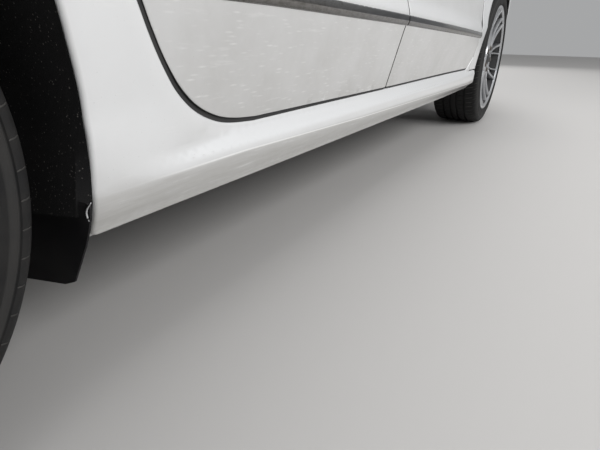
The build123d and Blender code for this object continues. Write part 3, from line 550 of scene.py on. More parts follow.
def rounded(points, step=0.012):
    """Closed outline through points (a, b) or (a, b, radius), with rounded corners and even steps."""
    pts = [(p[0], p[1], p[2] if len(p) > 2 else 0.004) for p in points]
    n = len(pts)
    out = []
    for i in range(n):
        p, q, s = np.array(pts[i - 1][:2]), np.array(pts[i][:2]), np.array(pts[(i + 1) % n][:2])
        r = pts[i][2]
        u, v = (p - q), (s - q)
        lu, lv = np.linalg.norm(u), np.linalg.norm(v)
        u, v = u / lu, v / lv
        ang = math.acos(max(-1, min(1, float(u @ v))))
        if ang > math.pi - 0.02 or r <= 0:
            out.append(q)
            continue
        t = min(r / math.tan(ang / 2), 0.49 * lu, 0.49 * lv)
        r = t * math.tan(ang / 2)
        a, b = q + u * t, q + v * t
        c = q + (u + v) / np.linalg.norm(u + v) * (r / math.sin(ang / 2))
        k = max(3, int(math.ceil((math.pi - ang) / 0.16)))
        a0 = math.atan2(*(a - c)[::-1])
        a1 = math.atan2(*(b - c)[::-1])
        d = (a1 - a0 + math.pi) % (2 * math.pi) - math.pi
        for j in range(k + 1):
            w = a0 + d * j / k
            out.append(c + r * np.array([math.cos(w), math.sin(w)]))
    dense = []
    for i in range(len(out)):
        a, b = out[i], out[(i + 1) % len(out)]
        d = np.linalg.norm(b - a)
        if d < 1e-6:
            continue
        for j in range(max(1, int(math.ceil(d / step)))):
            dense.append(a + (b - a) * j / max(1, int(math.ceil(d / step))))
    dense = np.array(dense)
    area2 = np.sum(dense[:, 0] * np.roll(dense[:, 1], -1) - np.roll(dense[:, 0], -1) * dense[:, 1])
    return dense if area2 > 0 else dense[::-1]


def arc_pts(cx, cz, r, a0, a1, n):
    """Points on a circle, angles in degrees."""
    return [(cx + r * math.cos(math.radians(a0 + (a1 - a0) * i / n)), cz + r * math.sin(math.radians(a0 + (a1 - a0) * i / n)), 0) for i in range(n + 1)]


def normals2(poly):
    """Outward normals of a counter-clockwise outline."""
    t = np.roll(poly, -1, 0) - np.roll(poly, 1, 0)
    t /= np.maximum(np.linalg.norm(t, axis=1, keepdims=True), 1e-9)
    return np.stack([t[:, 1], -t[:, 0]], 1)


def inside(pts, poly):
    x, z = pts[:, 0][:, None], pts[:, 1][:, None]
    a, b = poly, np.roll(poly, -1, 0)
    cond = (a[:, 1] > z) != (b[:, 1] > z)
    with np.errstate(divide="ignore", invalid="ignore"):
        xi = a[:, 0] + (z - a[:, 1]) * (b[:, 0] - a[:, 0]) / (b[:, 1] - a[:, 1])
    return (np.sum(cond & (x < xi), 1) % 2) == 1


def dist_to(pts, poly):
    a, b = poly, np.roll(poly, -1, 0)
    best = np.full(len(pts), 9.0)
    ab = b - a
    L = np.maximum((ab ** 2).sum(1), 1e-12)
    for i in range(0, len(pts), 2000):
        p = pts[i:i + 2000, None, :]
        t = np.clip(((p - a) * ab).sum(2) / L, 0, 1)
        best[i:i + 2000] = np.sqrt((((p - a) - t[..., None] * ab) ** 2).sum(2)).min(1)
    return best


def fill(loops, dx, dz, rows=()):
    """Triangles of a flat region between loops (the first outside, the rest holes), with an even grid inside."""
    from mathutils.geometry import delaunay_2d_cdt

    lo, hi = loops[0].min(0), loops[0].max(0)
    gx = np.arange(lo[0] + dx / 2, hi[0], dx)
    gz = np.array(sorted(list(np.arange(lo[1] + dz / 2, hi[1], dz)) + [r for r in rows if lo[1] < r < hi[1]]))
    gz = gz[np.concatenate([[True], np.diff(gz) > dz * 0.35])]
    grid = np.array([(a + (dx / 2 if i % 2 else 0), b) for i, b in enumerate(gz) for a in gx])
    keep = inside(grid, loops[0])
    grid = grid[keep]
    for h in loops[1:]:
        grid = grid[~inside(grid, h)]
    for h in loops:
        grid = grid[dist_to(grid, h) > 0.45 * min(dx, dz * 1.6)]
    pts, edges = [], []
    for h in loops:
        s = len(pts)
        pts += [tuple(p) for p in h]
        edges += [(s + i, s + (i + 1) % len(h)) for i in range(len(h))]
    nb = len(pts)
    pts += [tuple(p) for p in grid]
    vs, _, fs, ov, _, _ = delaunay_2d_cdt([Vector(p) for p in pts], edges, [], 0, 1e-7)
    vs = np.array([tuple(v) for v in vs])
    tri = np.array([f for f in fs if len(f) == 3])
    cen = vs[tri].mean(1)
    ok = inside(cen, loops[0])
    for h in loops[1:]:
        ok &= ~inside(cen, h)
    where = {}
    for i, src in enumerate(ov):
        for k in src:
            where[k] = i
    return vs, tri[ok], [where.get(i, 0) for i in range(nb)]


def panel(name, loops, surf, mat, r=0.0025, depth=0.02, dx=0.022, dz=0.011, rows=(), lift=0.0, steps=4, wall=None):
    """Sheet-metal panel on the right side: a smooth skin over the outline, its edges rolled inwards. loops are closed outlines in (x, z)."""
    edge = []
    for n, lp in enumerate(loops):
        nn = normals2(lp) * (1 if n == 0 else -1)
        if n:
            nn = normals2(lp)
            nn = -nn
        edge.append((lp, nn))
    inner = [lp - nn * r for lp, nn in edge]
    vs, tri, idx = fill(inner, dx, dz, rows)
    y = surf(vs[:, 0], vs[:, 1]) + lift
    verts = [np.stack([vs[:, 0] + XR, -y, vs[:, 1]], 1)]
    faces = [tuple(t) for t in tri]
    base = len(vs)
    walls = []
    k = 0
    for (lp, nn), inn in zip(edge, inner):
        n = len(lp)
        prev = [idx[k + i] for i in range(n)]
        k += n
        for st in range(1, steps + 2):
            if st <= steps:
                a = math.pi / 2 * st / steps
                p = inn + nn * r * math.sin(a)
                d = r * (1 - math.cos(a))
            else:
                p = lp
                d = depth
            yy = surf(inn[:, 0], inn[:, 1]) + lift - d if True else 0
            verts.append(np.stack([p[:, 0] + XR, -yy, p[:, 1]], 1))
            cur = [base + i for i in range(n)]
            base += n
            for i in range(n):
                j = (i + 1) % n
                if st >= steps:
                    walls.append(len(faces))
                faces.append((prev[i], prev[j], cur[j], cur[i]))
            prev = cur
    o = add_mesh(name, np.concatenate(verts), faces, mat)
    # the edge's wall faces take the wall material; on the doors this dark rubber is painted shade in the shut gap
    if wall is not None:
        o.data.materials.append(wall)
        for q in walls:
            o.data.polygons[q].material_index = 1
    bm_fix(o)
    return o


def bm_fix(o):
    """Faces that agree with their neighbours, and point away from the car's middle."""
    import bmesh

    bm = bmesh.new()
    bm.from_mesh(o.data)
    bmesh.ops.remove_doubles(bm, verts=bm.verts, dist=1e-6)
    bmesh.ops.recalc_face_normals(bm, faces=bm.faces)
    tot = sum(f.normal.y * f.calc_area() * (1 if f.calc_center_median().y > 0 else -1) for f in bm.faces)
    if tot < 0:
        bmesh.ops.reverse_faces(bm, faces=bm.faces)
    bm.to_mesh(o.data)
    bm.free()


def mirrored(o, name):
    """The same piece on the car's left side."""
    me = o.data.copy()
    me.transform(Matrix.Diagonal((1, -1, 1, 1)))
    me.flip_normals()
    c = bpy.data.objects.new(name, me)
    bpy.context.scene.collection.objects.link(c)
    return c


def pair(o, name, body, both_bodies=True, right_only=False):
    """Names a right-hand piece, mirrors it, and rides both on their bodies. body holds the word SIDE or is one body for both."""
    o.name = name + "_right"
    l = mirrored(o, name + "_left")
    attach(o, body.replace("SIDE", "right"))
    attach(l, body.replace("SIDE", "left"))
    return o, l


# ---------------------------------------------------------------- side panels
LIFT = 0.0026
REAR_ARCH = (0.0, 0.364)
FRONT_ARCH = (2.791, 0.347)
ARCH_R = 0.386


def belt(x):
    return float(curve(STATIONS[:, 0], STATIONS[:, 5], x))


# the gap line round the rear door's tail edge, from the bottom up
TAIL_EDGE = [(0.690, 0.3115, 0.03), (0.640, 0.3150, 0.05), (0.598, 0.3225, 0.05), (0.553, 0.3410, 0.05), (0.5205, 0.3680, 0.05), (0.4930, 0.4045, 0.06), (0.4740, 0.4360, 0.1),
             (0.4603, 0.4630, 0.1), (0.4465, 0.4890, 0.2), (0.3995, 0.5605, 0.3), (0.342, 0.6365, 0.3), (0.243, 0.7505, 0.4), (0.150, 0.8550, 0.2)]
HALF_GAP = 0.003


def smooth_run(pts, times=3):
    """Corner-cut run of points, its ends kept."""
    p = np.array([q[:2] for q in pts], float)
    for _ in range(times):
        a, b = p[:-1] * 0.75 + p[1:] * 0.25, p[:-1] * 0.25 + p[1:] * 0.75
        p = np.concatenate([p[:1], np.stack([a, b], 1).reshape(-1, 2), p[-1:]])
    return [(x, z, 0) for x, z in p]


TAIL_EDGE = smooth_run(TAIL_EDGE)
MID_EDGE = [(1.2665, 0.440, 0), (1.2668, 0.452, 0), (1.2700, 0.466, 0), (1.2760, 0.480, 0), (1.2815, 0.496, 0), (1.2840, 0.515, 0)]


def offset2(poly, d):
    return poly + normals2(poly) * d


rear_gap = rounded([(1.2650, 0.309, 0.006)] + MID_EDGE + [(1.284, belt(1.284) - 0.001, 0.004)] + [(x, belt(x) - 0.001, 0) for x in (1.0, 0.7, 0.4, 0.2)] + [(0.0715, belt(0.07) - 0.001, 0.006)] + TAIL_EDGE[::-1], 0.010)
front_gap = rounded([(1.2650, 0.309, 0.006), (2.236, 0.309, 0.04), (2.290, 0.356, 0.05), (2.300, 0.640, 0.2), (2.296, 0.905, 0.02), (2.266, belt(2.266) - 0.001, 0.004)]
                    + [(x, belt(x) - 0.001, 0) for x in (2.1, 1.9, 1.7, 1.5)] + [(1.284, belt(1.284) - 0.001, 0.004)] + MID_EDGE[::-1], 0.010)
ROWS = (0.2225, 0.2285, 0.240, 0.246, 0.252, 0.258, 0.263, 0.2665, 0.270, 0.2735, 0.277, 0.281, 0.2845, 0.2885, 0.2925, 0.296, 0.301, 0.452, 0.458, 0.464, 0.470, 0.476, 0.482, 0.488, 0.494, 0.518, 0.524, 0.530, 0.870, 0.876, 0.882, 0.888)

skins = {}


def fall(x):
    """How far the doors' lower crease lies above its height in the section table."""
    return np.interp(x, [0.40, 0.70, 0.87, 1.29, 2.27], [0.014, 0.0115, 0.0080, 0.0000, -0.0255])


def door_y(x, z):
    w = np.clip((z - 0.335) / 0.085, 0, 1) * np.clip((0.72 - z) / 0.14, 0, 1)
    w = w * w * (3 - 2 * w)
    return side_y(x, z - fall(x) * w)


for end, gap in (("rear", rear_gap), ("front", front_gap)):
    extra = 0.0008 * np.exp(-((gap[:, 0] - 0.575) / 0.085) ** 2) * (gap[:, 1] < 0.44)
    outline = gap - normals2(gap) * (HALF_GAP + extra)[:, None]
    # door edges inside the shut gap get the dark seal rubber: painted shade, as the gap lies in shadow
    o = panel(f"{end}_door_skin", [outline], door_y, DOOR, r=0.0014, depth=0.055, rows=ROWS, lift=LIFT, dz=0.010, wall=SEAL)
    skins[end] = pair(o, f"{end}_door_skin", f"{end}_door_SIDE")

def run_normals(run):
    """Unit normals of an open run, to the right of its direction."""
    t = np.gradient(np.array(run, float), axis=0)
    t /= np.linalg.norm(t, axis=1, keepdims=True)
    return np.stack([t[:, 1], -t[:, 0]], 1)



def rear_edge(x, z):
    """Where the rear arch's edge runs: a little further back in the upper part of its front half."""
    w = np.clip((z - 0.345) / 0.09, 0, 1)
    return x - 0.0058 * w * w * (3 - 2 * w) * np.clip(x / 0.30, 0, 1)


side_line = (
    [(0.3900, 0.213, 0.010), (2.425, 0.213, 0.03)]
    + arc_pts(*FRONT_ARCH, ARCH_R, 193.5, 187.4, 4)
    + [(2.303, 0.2975, 0.003), (2.303, 0.366, 0.004), (2.297, 0.358, 0.002), (2.238, 0.306, 0.043)]
    + [tuple(p) + (0,) for p in np.array([q[:2] for q in TAIL_EDGE]) - run_normals([q[:2] for q in TAIL_EDGE]) * 0.003]
    + [(0.0675, belt(0.06) - 0.001, 0.004)]
    + [(x, belt(x) - 0.001, 0) for x in (-0.2, -0.5, -0.8)]
    + [(-0.978, 0.947, 0.003), (-0.978, 0.888, 0.003), (-0.698, 0.883, 0.015), (-0.788, 0.742, 0.012), (-0.985, 0.736, 0.003), (-0.985, 0.655, 0.003), (-0.900, 0.653, 0.01), (-0.560, 0.641, 0.02)]
    + [(float(rear_edge(q[0], q[1])), q[1], 0) for q in arc_pts(*REAR_ARCH, ARCH_R, 148.4, 0.0, 54)]
    + [(0.3866, 0.338, 0.04), (0.3864, 0.300, 0.04), (0.3862, 0.272, 0.04), (0.3882, 0.240, 0.04)]
)
side_out = rounded(side_line, 0.010)


def flared(x, z):
    """The side with the slight flare at the rear wheel arch."""
    d = np.hypot(x, z - REAR_ARCH[1]) - ARCH_R
    return side_y(x, z) + 0.0055 * np.exp(-(d / 0.040) ** 2) * np.clip((z - 0.285) / 0.05, 0, 1)


o = panel("side_skin", [side_out], flared, WHITE, r=0.0050, depth=0.018, rows=ROWS, lift=LIFT, dz=0.010, dx=0.02)
side_skin = pair(o, "side_skin", "body")

# window frames of the doors, gloss black
FRAMES = {
    "front": ([(1.2905, 0.944, 0.004), (2.110, 0.944, 0.004), (2.116, 0.957, 0.004), (1.808, 1.186, 0.2), (1.590, 1.327, 0.2), (1.450, 1.3435, 0.3), (1.2935, 1.3470, 0.008)],
              [(1.326, 0.968, 0.01), (2.042, 0.964, 0.01), (1.787, 1.156, 0.2), (1.592, 1.284, 0.15), (1.450, 1.297, 0.3), (1.330, 1.301, 0.012)]),
    "rear": ([(0.0655, 0.950, 0.004), (1.2795, 0.944, 0.004), (1.2750, 1.3475, 0.008), (0.600, 1.3500, 0.4), (0.347, 1.3330, 0.16), (0.152, 1.178, 0.3)],
             [(0.150, 0.985, 0.012), (1.236, 0.970, 0.01), (1.236, 1.302, 0.012), (0.620, 1.304, 0.4), (0.432, 1.294, 0.12), (0.228, 1.180, 0.3)]),
}
for end, (outer, hole) in FRAMES.items():
    o = panel(f"{end}_door_frame", [rounded(outer, 0.012), rounded(hole, 0.012)], upper_y, GLOSS, r=0.0025, depth=0.032, lift=0.0008, dx=0.02, dz=0.012)
    a, b_ = pair(o, f"{end}_door_frame", f"{end}_door_SIDE")

# inner door panels with an armrest and a pocket
for end, gap in (("rear", rear_gap), ("front", front_gap)):
    shape = offset2(gap, -0.020)

    def card(x, z):
        base = side_y(x, z) * 0 + 0.856 + np.interp(z, [0.3, 0.42, 0.6, 0.9], [-0.052, -0.034, -0.018, -0.012])
        arm = np.exp(-((z - 0.665) / 0.045) ** 4) * 0.034
        pocket = np.exp(-((z - 0.42) / 0.075) ** 4) * np.exp(-((x - (0.95 if end == "rear" else 1.75)) / 0.30) ** 6) * 0.026
        return base - arm - pocket

    o = panel(f"{end}_door_card", [shape], card, TRIM, r=0.004, depth=-0.02, dx=0.03, dz=0.012)
    o.data.flip_normals()
    a, b_ = pair(o, f"{end}_door_card", f"{end}_door_SIDE")

for s in ("right", "left"):
    for e in ("front", "rear"):
        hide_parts(f"{e}_door_{s}")


# ---------------------------------------------------------------- strips that follow the body
def strip(name, xs, prof, mat, surf=side_y, cap=True):
    """A moulding along the side: prof gives, per station, its closed section as (outward, z) pairs about the surface."""
    verts, faces = [], []
    n = None
    for x in xs:
        sec = prof(x)
        n = len(sec)
        for o_, z in sec:
            verts.append((x + XR, -(float(surf(x, z)) + o_), z))
    for i in range(len(xs) - 1):
        for j in range(n):
            k = (j + 1) % n
            faces.append((i * n + j, i * n + k, (i + 1) * n + k, (i + 1) * n + j))
    if cap:
        faces.append(tuple(range(n))[::-1])
        faces.append(tuple((len(xs) - 1) * n + j for j in range(n)))
    o = add_mesh(name, verts, faces, mat, angle=38)
    return o


def trim_section(x):
    """Bright moulding on the doors' lower crease: a steep lower facet, a rolled edge and a facet sloping in above."""
    z = 0.4605 + float(fall(x))
    return [(-0.004, z - 0.002), (0.0035, z), (0.0058, z + 0.003), (0.0066, z + 0.0095), (0.0058, z + 0.0125), (0.0042, z + 0.0190), (0.0022, z + 0.0230), (-0.004, z + 0.0245)]


for end, x0, x1 in (("rear", 0.4600, 1.2695), ("front", 1.2760, 2.2925)):
    o = strip(f"{end}_door_moulding", np.linspace(x0, x1, 60), trim_section, MOULD, surf=door_y)
    for p in pair(o, f"{end}_door_moulding", f"{end}_door_SIDE"):
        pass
# belt weatherstrips, bright
for end, x0, x1 in (("rear", 0.080, 1.279), ("front", 1.2885, 2.255)):
    def bs(x):
        z = belt(x)
        return [(-0.030, z + 0.001), (0.0012, z - 0.004), (0.0026, z - 0.001), (0.0026, z + 0.006), (-0.002, z + 0.012), (-0.024, z + 0.014), (-0.032, z + 0.012)]
    o = strip(f"{end}_belt_strip", np.linspace(x0, x1, 50), bs, CHROME, surf=lambda x, z: curve(STATIONS[:, 0], STATIONS[:, 4], x))
    for p in pair(o, f"{end}_belt_strip", f"{end}_door_SIDE"):
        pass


# ---------------------------------------------------------------- wheels and tyres (about the Y axis, right-hand side, y from the wheel's middle)
WHEEL_Y = 0.784
TAU = 2 * math.pi


def lathe(name, prof, mat, n=96, a0=0.0, a1=TAU, closed=True, angle=35):
    """Turned piece: prof is (radius, y) in order; closed joins the last point to the first."""
    verts, faces = [], []
    full = abs(a1 - a0 - TAU) < 1e-6
    m = n if full else n + 1
    for i in range(m):
        a = a0 + (a1 - a0) * i / n
        for r, y in prof:
            verts.append((r * math.cos(a), y, r * math.sin(a)))
    k = len(prof)
    for i in range(n):
        j = (i + 1) % m
        for q in range(k if closed else k - 1):
            p = (q + 1) % k
            faces.append((i * k + q, i * k + p, j * k + p, j * k + q))
    return add_mesh(name, verts, faces, mat, angle=angle)


def tyre_mesh():
    """Low-profile tyre with circumferential grooves, shoulder blocks cut by slanted grooves and a rim-guard rib."""
    #        y from the middle, radius, class (0 sidewall, 1 shoulder, 2 rib, 3 groove floor)
    half = [(0.000, 0.3330, 2), (0.0105, 0.3330, 2), (0.0110, 0.3255, 3), (0.0200, 0.3255, 3), (0.0205, 0.3329, 2), (0.0300, 0.3328, 2), (0.0400, 0.3326, 2),
            (0.0480, 0.3323, 2), (0.0485, 0.3252, 3), (0.0570, 0.3250, 3), (0.0575, 0.3320, 2), (0.0670, 0.3315, 1), (0.0780, 0.3308, 1), (0.0880, 0.3299, 1),
            (0.0960, 0.3284, 1), (0.1015, 0.3262, 1), (0.1055, 0.3232, 1), (0.1082, 0.3195, 1), (0.1098, 0.3155, 1), (0.1100, 0.3135, 0), (0.1088, 0.3122, 0),
            (0.1090, 0.3108, 0), (0.1112, 0.3095, 0), (0.1128, 0.3060, 0), (0.1133, 0.3030, 0), (0.1128, 0.3010, 0), (0.1138, 0.2990, 0), (0.1155, 0.2900, 0),
            (0.1160, 0.2810, 0), (0.1150, 0.2740, 0), (0.1166, 0.2722, 0), (0.1170, 0.2690, 0), (0.1160, 0.2668, 0), (0.1118, 0.2640, 0), (0.1085, 0.2605, 0), (0.1065, 0.2560, 0)]
    prof = [(-y, r, c) for y, r, c in half[::-1]] + half[1:]
    dusty = []
    pitches = 70
    frac = (0.0, 0.020, 0.048, 0.070, 0.300, 0.500, 0.530, 0.560, 0.590, 0.800)
    deep = (0, 1, 1, 0, 0, 0, 0.6, 0.6, 0, 0)
    verts, faces = [], []
    k = len(prof)
    n = pitches * len(frac)
    for i in range(pitches):
        for f, dp in zip(frac, deep):
            for y, r, c in prof:
                ay = abs(y)
                skew = 0.30 * np.clip((ay - 0.050) / 0.055, 0, 1.2) ** 1.4 * (1 if y > 0 else -1)
                sh = 0.45 if y > 0 else 0.0
                a = TAU * (i + f + sh * 0 + (skew if c in (0, 1) else 0)) / pitches
                d = 0.0
                if c == 1 and dp and ay > 0.060:
                    d = dp * (0.0030 if ay < 0.100 else 0.0018) * (1.0 if dp == 1 else (0.6 if 0.062 < ay < 0.090 else 0.0))
                elif c == 2 and dp == 1 and 0.030 <= ay <= 0.0475:
                    d = 0.0035
                elif c == 0 and 0.2695 < r < 0.2995 and (i % 2 == 0) and dp == 1 and 0.2890 < r:
                    d = 0.0
                rr = r - d
                if ay > 0.1050 and c == 1:
                    y2 = y - math.copysign(d * 0.7, y)
                else:
                    y2 = y
                verts.append((rr * math.cos(a), y2, rr * math.sin(a)))
                dusty.append(1.0 if d and c == 1 else (0.13 if c == 0 and 0.3000 < r < 0.3115 else 0.0))
    for i in range(n):
        j = (i + 1) % n
        for q in range(k - 1):
            faces.append((i * k + q, i * k + q + 1, j * k + q + 1, j * k + q))
    inner = [(0.2470, 0.1050), (0.2415, 0.1030), (0.2415, -0.1030), (0.2470, -0.1050)]
    base = len(verts)
    for i in range(0, n, 5):
        a = TAU * (i // len(frac) + frac[i % len(frac)]) / pitches
        for r, y in inner:
            verts.append((r * math.cos(a), y, r * math.sin(a)))
    m = n // 5
    for i in range(m):
        j = (i + 1) % m
        for q in range(3):
            faces.append((base + i * 4 + q, base + i * 4 + q + 1, base + j * 4 + q + 1, base + j * 4 + q))
    o = add_mesh("tyre_master", verts, faces, RUBBER, angle=32)
    layer = o.data.attributes.new("dusty", "FLOAT", "POINT")
    layer.data.foreach_set("value", dusty + [0.0] * (len(verts) - len(dusty)))
    return o


def bm_out(o):
    import bmesh

    bm = bmesh.new()
    bm.from_mesh(o.data)
    bmesh.ops.recalc_face_normals(bm, faces=bm.faces)
    bm.to_mesh(o.data)
    bm.free()


def spoke(a_in, a_out, w_in, w_out, r0, r1, face, back):
    """One blade between the hub and the rim: chamfered section, its face following face(t)."""
    verts, faces = [], []
    n = 12
    for i in range(n + 1):
        t = i / n
        r = r0 + (r1 - r0) * t
        a = a_in + (a_out - a_in) * t
        w = w_in + (w_out - w_in) * t
        if t > 0.86:
            w *= 1 + 2.2 * (t - 0.86) ** 1.3
        yf, yb = face(t), back(t)
        sec = [(-w / 2, yb), (-w / 2, yf + 0.0065), (-w / 2 + 0.0028, yf), (w / 2 - 0.0028, yf), (w / 2, yf + 0.0065), (w / 2, yb)]
        ca, sa = math.cos(a), math.sin(a)
        for u, y in sec:
            verts.append((r * ca - u * sa, y, r * sa + u * ca))
    k = 6
    for i in range(n):
        for q in range(k):
            p = (q + 1) % k
            faces.append((i * k + q, i * k + p, (i + 1) * k + p, (i + 1) * k + q))
    faces.append(tuple(range(k)))
    faces.append(tuple(n * k + q for q in range(k))[::-1])
    return verts, faces


def merge(parts, name, mat, angle=35):
    verts, faces = [], []
    for v, f in parts:
        b0 = len(verts)
        verts += v
        faces += [tuple(b0 + q for q in g) for g in f]
    return add_mesh(name, verts, faces, mat, angle=angle)


def wheel_masters():
    """Rim with five twin spokes, hub with five bolts and a blank cap, brake disc. Outboard is -y."""
    out = []
    rim = lathe("rim_master", [(0.2570, -0.1085), (0.2580, -0.1110), (0.2565, -0.1120), (0.2480, -0.1120), (0.2455, -0.1105), (0.2435, -0.1060), (0.2420, -0.1000),
                               (0.2395, -0.0900), (0.2360, -0.0700), (0.2330, -0.0500), (0.2290, -0.0300), (0.2270, 0.0000), (0.2270, 0.0400), (0.2330, 0.0600), (0.2340, 0.1060),
                               (0.2420, 0.1085), (0.2560, 0.1100), (0.2565, 0.1065), (0.2405, 0.1040), (0.2400, 0.0620), (0.2325, 0.0420), (0.2325, -0.0200), (0.2400, -0.0500), (0.2412, -0.1040)], ALLOY, n=120)
    rim.data.materials.append(BARREL)
    for p in rim.data.polygons:
        if p.center.y > -0.1055 and math.hypot(p.center.x, p.center.z) < 0.2425:
            p.material_index = 1
    out.append(rim)
    face = lambda t: -0.0905 - 0.0015 * t - 0.018 * t ** 3 + 0.006 * math.sin(math.pi * t)
    back = lambda t: -0.0560 - 0.020 * t
    blades = []
    for i in range(5):
        a = TAU * (i / 5.0) + 0.18
        for sg in (-1, 1):
            blades.append(spoke(a + sg * 0.14, a + sg * 0.245, 0.020, 0.0150, 0.050, 0.2440, face, back))
            # a slimmer blade splits off towards the rim
            blades.append(spoke(a + sg * 0.30, a + sg * 0.455, 0.010, 0.0105, 0.082, 0.2440, lambda t: face(t) + 0.0035 * (1 - t), back))
    out.append(merge(blades, "spokes_master", ALLOY))
    hub = lathe("hub_master", [(0.0, -0.0870), (0.0300, -0.0870), (0.0310, -0.0860), (0.0315, -0.0800), (0.0360, -0.0790), (0.0385, -0.0880), (0.0720, -0.0900), (0.0780, -0.0860), (0.0820, -0.0760), (0.0820, -0.0560),
                               (0.0760, -0.0460), (0.0, -0.0460)], ALLOY, n=80, closed=False)
    out.append(hub)
    cap = lathe("hubcap_master", [(0.0, -0.0935), (0.0180, -0.0932), (0.0265, -0.0918), (0.0296, -0.0895), (0.0300, -0.0868), (0.0, -0.0866)], BLACK, n=48, closed=False)
    out.append(cap)
    bolts = []
    for i in range(5):
        a = TAU * i / 5 + 0.18 + TAU / 10
        cx, cz = 0.056 * math.cos(a), 0.056 * math.sin(a)
        # recess ring and hexagon head
        for rad, y0, y1, n in ((0.0125, -0.0912, -0.0895, 20), (0.0085, -0.0948, -0.0890, 6)):
            vs = [(cx, y0, cz)] + [(cx + rad * math.cos(TAU * q / n), y0, cz + rad * math.sin(TAU * q / n)) for q in range(n)] + [(cx + rad * math.cos(TAU * q / n), y1, cz + rad * math.sin(TAU * q / n)) for q in range(n)]
            fs = [(0, 1 + q, 1 + (q + 1) % n) for q in range(n)] + [(1 + q, 1 + n + q, 1 + n + (q + 1) % n, 1 + (q + 1) % n) for q in range(n)]
            bolts.append((vs, fs))
    out.append(merge(bolts, "bolts_master", CAST))
    disc = lathe("disc_master", [(0.040, -0.0455), (0.0760, -0.0455), (0.0790, -0.0440), (0.0800, -0.0335), (0.0880, -0.0330), (0.1545, -0.0330), (0.1560, -0.0320), (0.1560, -0.0255), (0.1500, -0.0250), (0.1500, -0.0160), (0.1560, -0.0155), (0.1560, -0.0080),
                                 (0.0880, -0.0070), (0.040, -0.0070)], STEEL, n=96)
    out.append(disc)
    for o in out:
        bm_out(o)
    return out


tyre_master = tyre_mesh()
bm_out(tyre_master)
masters = wheel_masters()
for end, xx in (("front", XF), ("rear", XR)):
    for s, sg in (("right", -1), ("left", 1)):
        body = f"{end}_wheel_{s}"
        for src in [tyre_master] + masters:
            me = src.data.copy()
            if s == "left":
                me.transform(Matrix.Diagonal((1, -1, 1, 1)))
                me.flip_normals()
            o = bpy.data.objects.new(src.name.replace("_master", "") + f"_{end}_{s}", me)
            bpy.context.scene.collection.objects.link(o)
            turn = {"front": -0.35, "rear": 0.2}[end]
            o.matrix_world = Matrix.Translation((xx, sg * WHEEL_Y, TYRE_R)) @ Matrix.Rotation(turn, 4, "Y")
            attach(o, body)
            if src is tyre_master:
                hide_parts(f"{end}_tyre_{s}")
            elif src is masters[0]:
                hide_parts(f"{end}_wheel_{s}")
for src in [tyre_master] + masters:
    bpy.data.objects.remove(src)


# ---------------------------------------------------------------- arch liners, flaps, seals
FLAP = plain("flap_plastic", (0.006, 0.006, 0.008), 0.55, dirt=0.02, spec=0.15)


def liner_mesh(name, xc, zc, wall, out, surf, foot, drop=0.0, edge=lambda x, z: x):
    """Felt half tube over a wheel, right side, with shallow pressed ribs and a closed inner wall with a port."""
    na, ny = 120, 26
    verts, faces = [], []
    a0, a1 = -17.0, 197.0
    for i in range(na + 1):
        for j in range(ny + 1):
            t = j / ny
            low = a0 - drop * (1 - t)
            a = math.radians(low + (a1 - low) * i / na)
            y = wall + (out - wall) * t
            r = 0.3795 + 0.0012 * math.sin(9 * a) * math.sin(math.pi * t) + 0.0010 * math.sin(23 * a + 3 * t)
            if 0.30 < t < 0.36 or 0.60 < t < 0.66:
                r -= 0.0025
            verts.append((xc + XR + r * math.cos(a), -y, zc + r * math.sin(a)))
    k = ny + 1
    for i in range(na):
        for j in range(ny):
            faces.append((i * k + j, i * k + j + 1, (i + 1) * k + j + 1, (i + 1) * k + j))
    # flange that meets the panel's edge all the way round
    rim = len(verts)
    for i in range(na + 1):
        a = math.radians(a0 + (a1 - a0) * i / na)
        r = ARCH_R - 0.0012
        if math.sin(a) < 0 and math.cos(a) > 0:
            r = float(np.interp(zc + r * math.sin(a), [0.245, 0.30, 0.33], [foot, foot - 0.0015, ARCH_R - 0.0012])) / math.cos(a)
        x, z = xc + r * math.cos(a), zc + r * math.sin(a)
        x = float(edge(x, z))
        verts.append((x + XR, -(float(surf(x, z)) - 0.0012), z))
    for i in range(na):
        faces.append((i * k + ny, rim + i, rim + i + 1, (i + 1) * k + ny))
    # inner wall, from the tube's inner edge down to a port round the axle parts
    base = len(verts)
    rings = 8
    low = a0 - drop
    for i in range(na + 1):
        a = math.radians(low + (a1 - low) * i / na)
        for j in range(rings + 1):
            t = j / rings
            r = 0.3795 * (1 - t) + 0.205 * t
            verts.append((xc + XR + r * math.cos(a), -(wall + 0.004 * math.sin(math.pi * t)), zc + r * math.sin(a)))
    k = rings + 1
    for i in range(na):
        for j in range(rings):
            faces.append((base + i * k + j, base + i * k + j + 1, base + (i + 1) * k + j + 1, base + (i + 1) * k + j))
    return add_mesh(name, verts, faces, FELT, angle=40)


def plate_yz(name, outline, x_of, thick, mat, dy=0.012, dz=0.012):
    """Plate standing across the car: outline in (y, z), its face at x_of(y, z), thick forwards."""
    vs, tri, idx = fill([outline], dy, dz)
    x = x_of(vs[:, 0], vs[:, 1])
    n = len(vs)
    verts = [(a + XR, y, z) for a, (y, z) in zip(x, vs)] + [(a + XR + thick, y, z) for a, (y, z) in zip(x, vs)]
    faces = [tuple(t) for t in tri] + [tuple(n + q for q in t[::-1]) for t in tri]
    m = len(outline)
    for q in range(m):
        p, w = idx[q], idx[(q + 1) % m]
        faces.append((p, w, n + w, n + p))
    o = add_mesh(name, verts, faces, mat, angle=40)
    bm_out(o)
    return o


